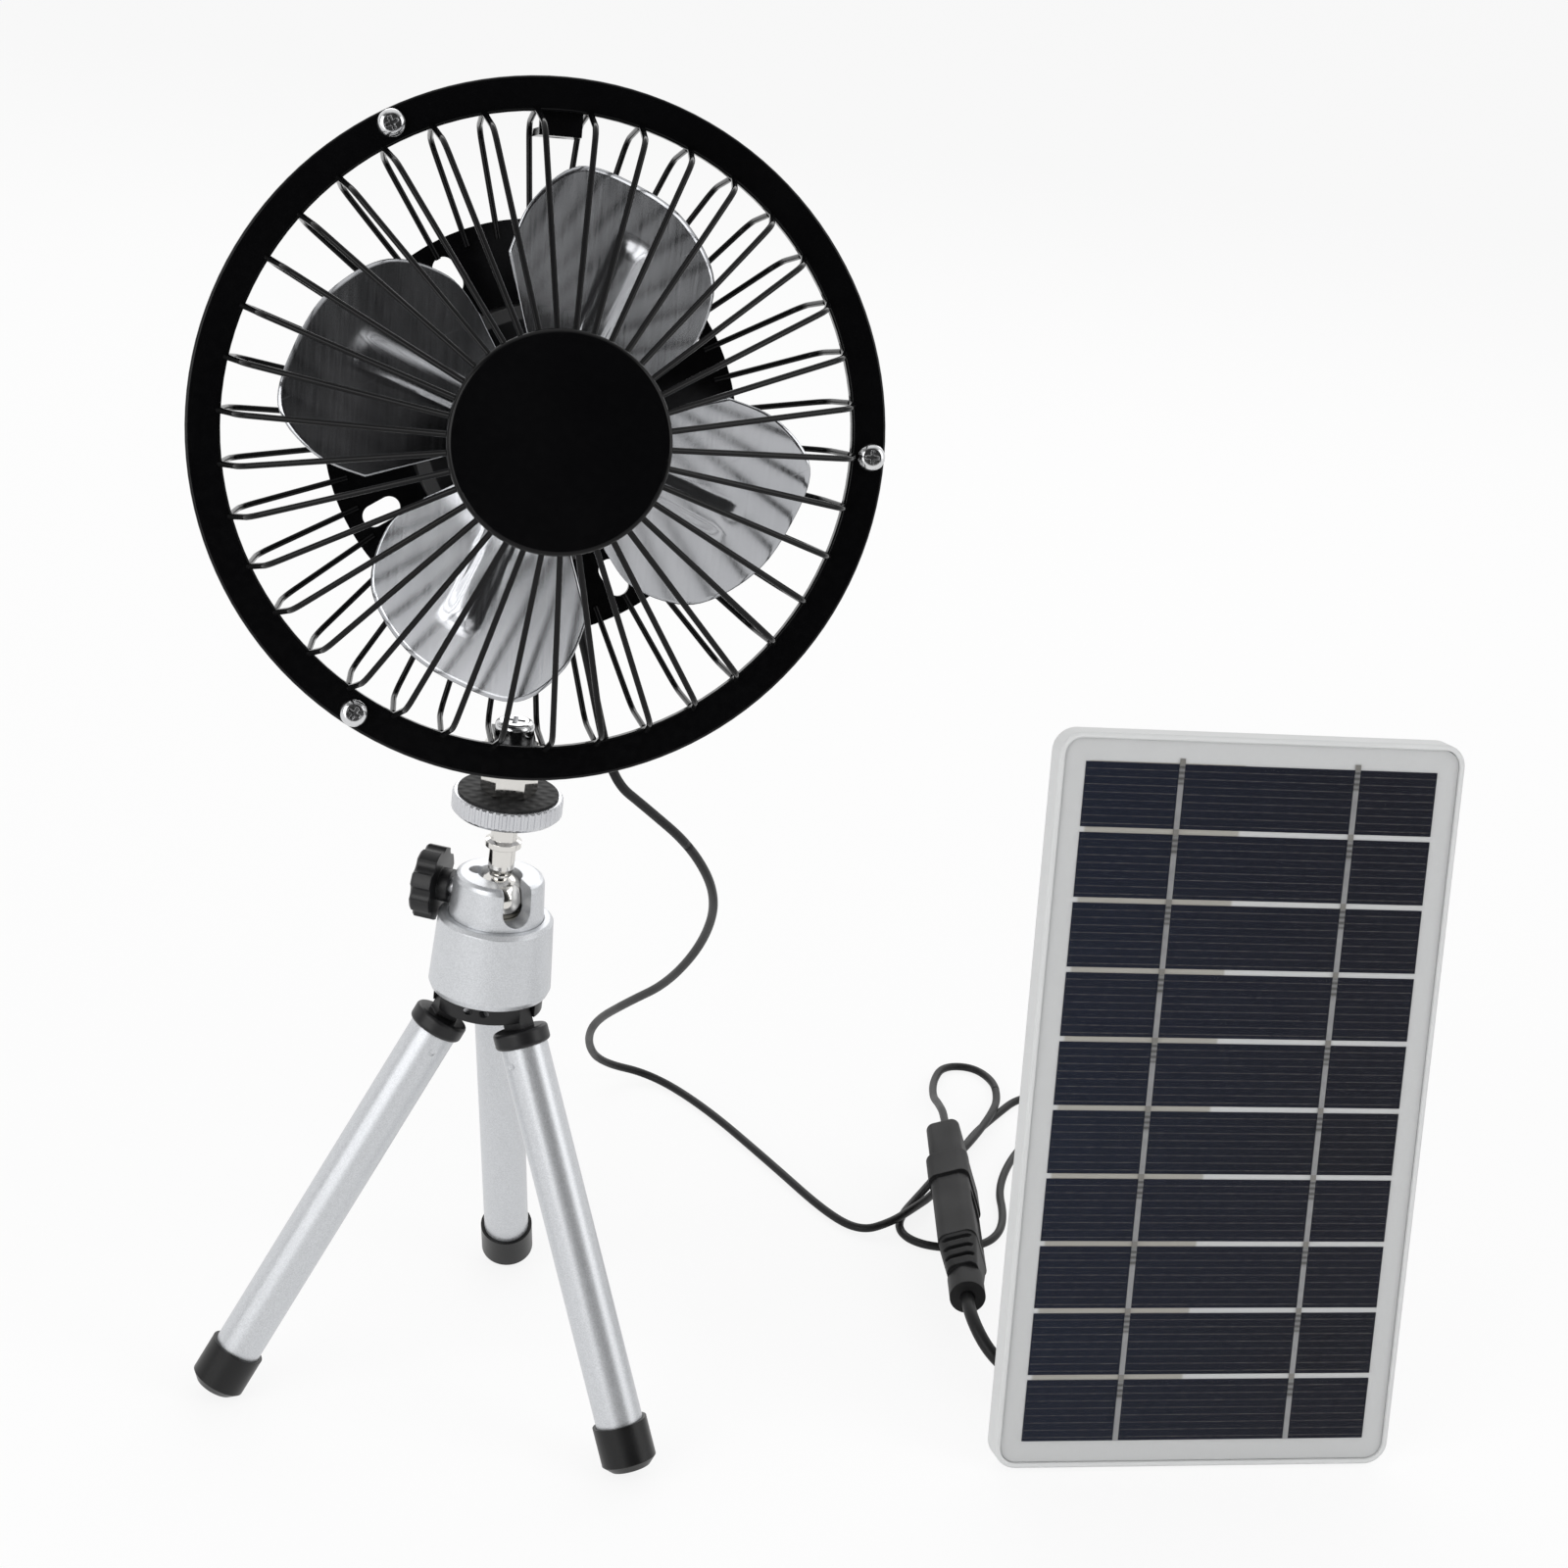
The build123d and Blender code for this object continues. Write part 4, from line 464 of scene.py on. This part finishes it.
# Painted light: the cells are painted bluer towards the panel's left edge, fading out 70 mm along.
painted_blue_to_left = add(tree, "MapRange", Value=along, From_Min=6.0, From_Max=70.0, To_Min=1.0, To_Max=0.0)
coating_and_painted_light = add(tree, "Mix", RGBA, in0=painted_blue_to_left, in6=linear("#12131c"), in7=linear("#141a29"))
crystal_and_painted_light = add(tree, "Mix", RGBA, in0=cell_share, in6=coating_and_painted_light.outputs[2], in7=linear("#141624"))
printed = add(tree, "TexNoise", Vector=where, Scale=1 / (1.3 * MM), Detail=1.0)
print_share = add(tree, "MapRange", Value=printed, **FROM_NOISE, To_Min=0.12, To_Max=0.5)
faint = add(tree, "Math", {"operation": "MULTIPLY"}, in0=finger, in1=print_share)
shade = add(tree, "Mix", RGBA, in0=faint, in6=crystal_and_painted_light.outputs[2], in7=linear("#77746f"))
relief = add(tree, "Bump", Height=finger, Distance=0.02 * MM, Strength=0.6)
shader = add(tree, "BsdfPrincipled", Base_Color=shade.outputs[2], Roughness=0.34, IOR=1.25, Normal=relief)
add(tree, "OutputMaterial", Surface=shader)

# Backing sheet of laminated white film: even and satin. In the left part of the gaps between the cells
# a duller, beige strip shows.
backing, tree = new_material("white_tpt_backing")
where = add(tree, "TexCoord").outputs["Object"]
along, up, _, in_cell = cell_place(tree, where)
between = band(tree, up, CELLS_MIDDLE, CELLS_HALF)
gap = add(tree, "Math", {"operation": "MULTIPLY"}, in0=band(tree, in_cell, GAP_MIDDLE, GAP_HALF), in1=between)
left_part = band(tree, along, 24.0, 17.0, 0.3)
dull = add(tree, "Math", {"operation": "MULTIPLY"}, in0=gap, in1=left_part)
speck = add(tree, "TexNoise", Vector=where, Scale=1 / (0.6 * MM))
white = add(tree, "Mix", RGBA, in0=speck, in6=linear("#cccdcd"), in7=linear("#d3d4d4"))
shade = add(tree, "Mix", RGBA, in0=dull, in6=white.outputs[2], in7=linear("#aba8a0"))
gloss = add(tree, "MapRange", Value=speck, **FROM_NOISE, To_Min=0.36, To_Max=0.46)
relief = add(tree, "Bump", Height=speck, Distance=0.01 * MM, Strength=0.5)
shader = add(tree, "BsdfPrincipled", Base_Color=shade.outputs[2], Roughness=gloss, IOR=1.5, Normal=relief)
add(tree, "OutputMaterial", Surface=shader)

# Copper ribbon, rolled flat and tinned: dull silver with soft dents from the solder, crimped where it comes up
# onto the top of each cell and painted darker there, with darker stripes as painted shade in the crimp folds,
# and duller in the gaps.
tinned, tree = new_material("tinned_copper_ribbon")
where = add(tree, "TexCoord").outputs["Object"]
_, up, _, in_cell = cell_place(tree, where)
dents = add(tree, "TexNoise", Vector=where, Scale=1 / (1.8 * MM), Detail=1.0)
# Painted shade: the crimp folds are drawn as darker stripes 1.2 mm apart, over a landing painted darker as a
# whole.
crimps = add(tree, "Math", {"operation": "PINGPONG"}, in0=up, in1=0.6)
crimp_shade_share = add(tree, "MapRange", Value=crimps, From_Min=0.1, From_Max=0.5, To_Min=0.35, To_Max=1.0)
landing = band(tree, in_cell, 11.6, 2.1, 0.3)
painted_crimp_shade = add(tree, "Math", {"operation": "MULTIPLY"}, in0=landing, in1=crimp_shade_share)
bright = add(tree, "Mix", RGBA, in0=dents, in6=linear("#8f8f90"), in7=linear("#abacad"))
ribbon_and_painted_crimp_shade = add(tree, "Mix", RGBA, in0=painted_crimp_shade, in6=bright.outputs[2], in7=linear("#5f5f5e"))
tint = add(tree, "Mix", RGBA, in0=band(tree, in_cell, GAP_MIDDLE, 0.7, 0.2), in6=ribbon_and_painted_crimp_shade.outputs[2],
           in7=linear("#8c8a85"))
gloss = add(tree, "MapRange", Value=dents, **FROM_NOISE, To_Min=0.38, To_Max=0.55)
relief = add(tree, "Bump", Height=dents, Distance=0.06 * MM, Strength=0.6)
shader = add(tree, "BsdfPrincipled", Base_Color=tint.outputs[2], Metallic=0.6, Roughness=gloss, Normal=relief)
add(tree, "OutputMaterial", Surface=shader)

# PET film, laminated clear over the cells: almost invisible, with a faint even gloss.
film, tree = new_material("clear_pet_film")
where = add(tree, "TexCoord").outputs["Object"]
haze = add(tree, "TexNoise", Vector=where, Scale=1 / (3.0 * MM))
gloss = add(tree, "MapRange", Value=haze, **FROM_NOISE, To_Min=0.18, To_Max=0.26)
shader = add(tree, "BsdfPrincipled", Base_Color=linear("#3a3d46"), Roughness=gloss, IOR=1.5, Alpha=0.05)
add(tree, "OutputMaterial", Surface=shader)

finishes = {
    enamel: ["front_ring", "rear_ring", "front_wires", "rear_wires", "front_cap", "rear_plate",
             "mounting_tabs"],
    zinc: ["guard_fasteners", "tab_screw"],
    steel: ["motor_can", "motor_shaft", "motor_mount", "motor_armature", "base_pins", "stand_pin", "blade_nut",
            "clamp_screw"],
    bronze: ["motor_bearings"],
    ferrite: ["motor_magnets"],
    nickel: ["ball_stem", "hex_coupling", "usb_plug_shell", "usb_socket_shell"],
    knurled: ["platform_disc", "blade_hub"],
    silver_paint: ["ball_cup", "leg_housing", "leg_tube_1", "leg_tube_2", "leg_tube_3"],
    abs_black: ["motor_housing", "lock_knob", "base_plate", "leg_hinge_1", "leg_hinge_2", "leg_hinge_3",
                "junction_box", "junction_lid", "socket_tongue"],
    tpe_black: ["foot_1", "foot_2", "foot_3", "cord_grommet"],
    pad_rubber: ["rubber_pad"],
    nylon: ["ball_seat"],
    silicon: ["solar_cells"],
    backing: ["cell_backing"],
    tinned: ["bus_ribbons"],
    film: ["clear_cover"],
    tray_grey: ["panel_tray", "stand_flap"],
    pvc_grain: ["usb_plug_body", "usb_socket_body", "cable_gland"],
}
for finish, names in finishes.items():
    for name in names:
        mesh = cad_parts[name].data
        mesh.materials.clear()
        mesh.materials.append(finish)
for piece in (upper, lower, loop, lead):
    piece.data.materials.append(pvc_cord)


# ---------------------------------------------------------------- blades
# Millimetres from the fan's axis, and ahead of the ring.
BLADE_TIP, BLADE_AHEAD, BLADE_PITCH, BLADE_PHASE, SHEET_T = 52.0, 8.0, radians(15), -21.0, 0.6
RIB_HEIGHT, RIB_SIDES, RIB_FOOT, RIB_HEAD = 0.9, (1.9, 3.3), (8.5, 12.0), (38.0, 41.5)
DISH_DEPTH, DISH_STARTS = 0.8, (11.0, 24.0)
ROOT_ANGLE, ROOT_SHARE = 34, 0.20
DISC_RINGS, DISC_AHEAD = (3.35, 5.0, 8.0, 10.3, 11.0), 0.02
# The blade's edge, from its leading side to its trailing side: degrees, and share of the tip's radius.
blade_edge = [(38, 0.70), (30, 0.87), (19, 1.0), (5, 0.985), (-9, 0.955), (-24, 0.87), (-35, 0.69), (-38, 0.51)]


def polar(angle, share):
    return Vector((cos(radians(angle)), sin(radians(angle)), 0)) * share * BLADE_TIP


def through(points, share):
    """Smooth curve through the points, share from 0 to 1."""
    spans = len(points) - 1
    k = min(int(share * spans), spans - 1)
    t = share * spans - k
    a, b, c, d = (points[max(0, min(len(points) - 1, k + i))] for i in (-1, 0, 1, 2))
    return 0.5 * (2 * b + (c - a) * t + (2 * a - 5 * b + 4 * c - d) * t * t + (3 * b - a - 3 * c + d) * t ** 3)


def rise(value, low, high):
    """0 below low, 1 above high, smooth in between."""
    t = max(0.0, min(1.0, (value - low) / (high - low)))
    return t * t * (3 - 2 * t)


def stamped_blades():
    """One sheet: a centre disc and four blades, each pitched, slightly dished and with a stamped rib."""
    verts, faces = [], []
    across, outward = 56, 40
    tip_points = [polar(angle, share) for angle, share in blade_edge]
    root_lead, root_trail = polar(ROOT_ANGLE, ROOT_SHARE), polar(-ROOT_ANGLE, ROOT_SHARE)
    for number in range(4):
        spoke_angle = radians(BLADE_PHASE + 90 * number)
        spoke = fan_right * cos(spoke_angle) + fan_up * sin(spoke_angle)
        lead_side = fan_axis.cross(spoke)
        pitched_side = lead_side * cos(BLADE_PITCH) + fan_axis * sin(BLADE_PITCH)
        pitched_normal = fan_axis * cos(BLADE_PITCH) - lead_side * sin(BLADE_PITCH)
        start = len(verts)
        for i in range(across + 1):
            tip = through(tip_points, i / across)
            root = root_lead.lerp(root_trail, i / across)
            for j in range(outward + 1):
                flat = root.lerp(tip, j / outward)
                rib = (RIB_HEIGHT * (1 - rise(abs(flat.y), *RIB_SIDES)) * (1 - rise(flat.x, *RIB_HEAD))
                       * rise(flat.x, *RIB_FOOT))
                dish = -DISH_DEPTH * (1 - (flat.length / BLADE_TIP) ** 2) * rise(flat.length, *DISH_STARTS)
                verts.append(ring_centre + (fan_axis * BLADE_AHEAD + spoke * flat.x + pitched_side * flat.y
                                            + pitched_normal * (rib + dish)) * MM)
        for i in range(across):
            for j in range(outward):
                a = start + i * (outward + 1) + j
                faces.append((a, a + outward + 1, a + outward + 2, a + 1))
    start, around = len(verts), 72
    for radius in DISC_RINGS:
        for k in range(around):
            turn = 2 * pi * k / around
            spoke = fan_right * cos(turn) + fan_up * sin(turn)
            verts.append(ring_centre + (fan_axis * (BLADE_AHEAD + DISC_AHEAD) + spoke * radius) * MM)
    for r in range(len(DISC_RINGS) - 1):
        for k in range(around):
            a, b = start + r * around + k, start + r * around + (k + 1) % around
            faces.append((a, a + around, b + around, b))
    piece = new_piece("stamped_blades", verts, faces)
    thickness = piece.modifiers.new("sheet", "SOLIDIFY")
    thickness.thickness = SHEET_T * MM
    thickness.offset = 0.0
    return piece


blades = stamped_blades()
blades.data.materials.append(sheet_aluminium)
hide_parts("fan_blade")
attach(blades, "blades")

# ---------------------------------------------------------------- floor and light
FLOOR_HALF, FLOOR_DROP, FLOOR_GLOW = 6.0, 0.02 * MM, 0.86
floor_corners = [(x * FLOOR_HALF, y * FLOOR_HALF, 0) for x, y in ((-1, -1), (1, -1), (1, 1), (-1, 1))]
floor = new_piece("floor", floor_corners, [(0, 1, 2, 3)], smooth=False)
floor.location.z = -FLOOR_DROP
# Paper, matt and white. It glows for rays that look at it, so that it stays white and still takes a shadow.
paper, tree = new_material("matt_white_paper")
matt = add(tree, "BsdfPrincipled", Base_Color=linear("#f6f6f6"), Roughness=0.85, IOR=1.4)
glow = add(tree, "Emission", Color=(1, 1, 1, 1), Strength=1.0)
rays = add(tree, "LightPath").outputs
mirrored = add(tree, "Math", {"operation": "MAXIMUM"}, in0=rays["Is Glossy Ray"],
               in1=rays["Is Transmission Ray"])
seen = add(tree, "Math", {"operation": "MAXIMUM"}, in0=rays["Is Camera Ray"], in1=mirrored)
whiten = add(tree, "Math", {"operation": "MULTIPLY"}, in0=seen, in1=FLOOR_GLOW)
surface = add(tree, "MixShader", in0=whiten, in1=matt, in2=glow)
add(tree, "OutputMaterial", Surface=surface)
floor.data.materials.append(paper)

# The room: white to the eye, 0.56 of it as light, and in gloss white walls behind and above the set and
# a dark room on the viewer's side.
ROOM_LIGHT = 0.56
world = bpy.data.worlds.new("studio")
bpy.context.scene.world = world
world.use_nodes = True
tree = world.node_tree
tree.nodes.clear()
rays = add(tree, "LightPath").outputs
direction = add(tree, "SeparateXYZ", Vector=add(tree, "TexCoord").outputs["Generated"]).outputs
walls = add(tree, "MapRange", Value=direction["Y"], From_Min=-0.65, From_Max=0.1, To_Min=0.03, To_Max=1.0)
overhead = add(tree, "MapRange", Value=direction["Z"], From_Min=0.72, From_Max=0.97)
room = add(tree, "Math", {"operation": "MAXIMUM"}, in0=walls, in1=overhead)
lighting = add(tree, "Mix", {"data_type": "FLOAT"}, in0=rays["Is Glossy Ray"], in2=ROOM_LIGHT, in3=room)
seen = add(tree, "Math", {"operation": "MAXIMUM"}, in0=rays["Is Camera Ray"], in1=rays["Is Transmission Ray"])
level = add(tree, "Mix", {"data_type": "FLOAT"}, in0=seen, in2=lighting, in3=1.0)
add(tree, "OutputWorld", Surface=add(tree, "Background", Color=(1, 1, 1, 1), Strength=level))


def softbox(name, place_mm, aim_mm, size, power):
    """A flat lamp: its place and aim in mm from the tripod's axis, metres wide and high, and watts."""
    data = bpy.data.lights.new(name, "AREA")
    data.shape = "RECTANGLE"
    data.size, data.size_y = size
    data.energy = power
    lamp = bpy.data.objects.new(name, data)
    lamp.location = from_tripod(*place_mm)
    lamp.rotation_euler = (from_tripod(*aim_mm) - lamp.location).to_track_quat("-Z", "Y").to_euler()
    bpy.context.scene.collection.objects.link(lamp)


softbox("key", (-700, -820, 560), (30, 0, 120), (0.8, 0.8), 5.5)
softbox("card", (-330, -980, 300), (0, 0, 211), (0.35, 0.5), 1.2)
softbox("fill", (1000, -300, 600), (60, 0, 120), (0.6, 0.8), 3.0)
softbox("rim", (100, 900, 700), (60, 0, 150), (1.2, 0.5), 3.0)
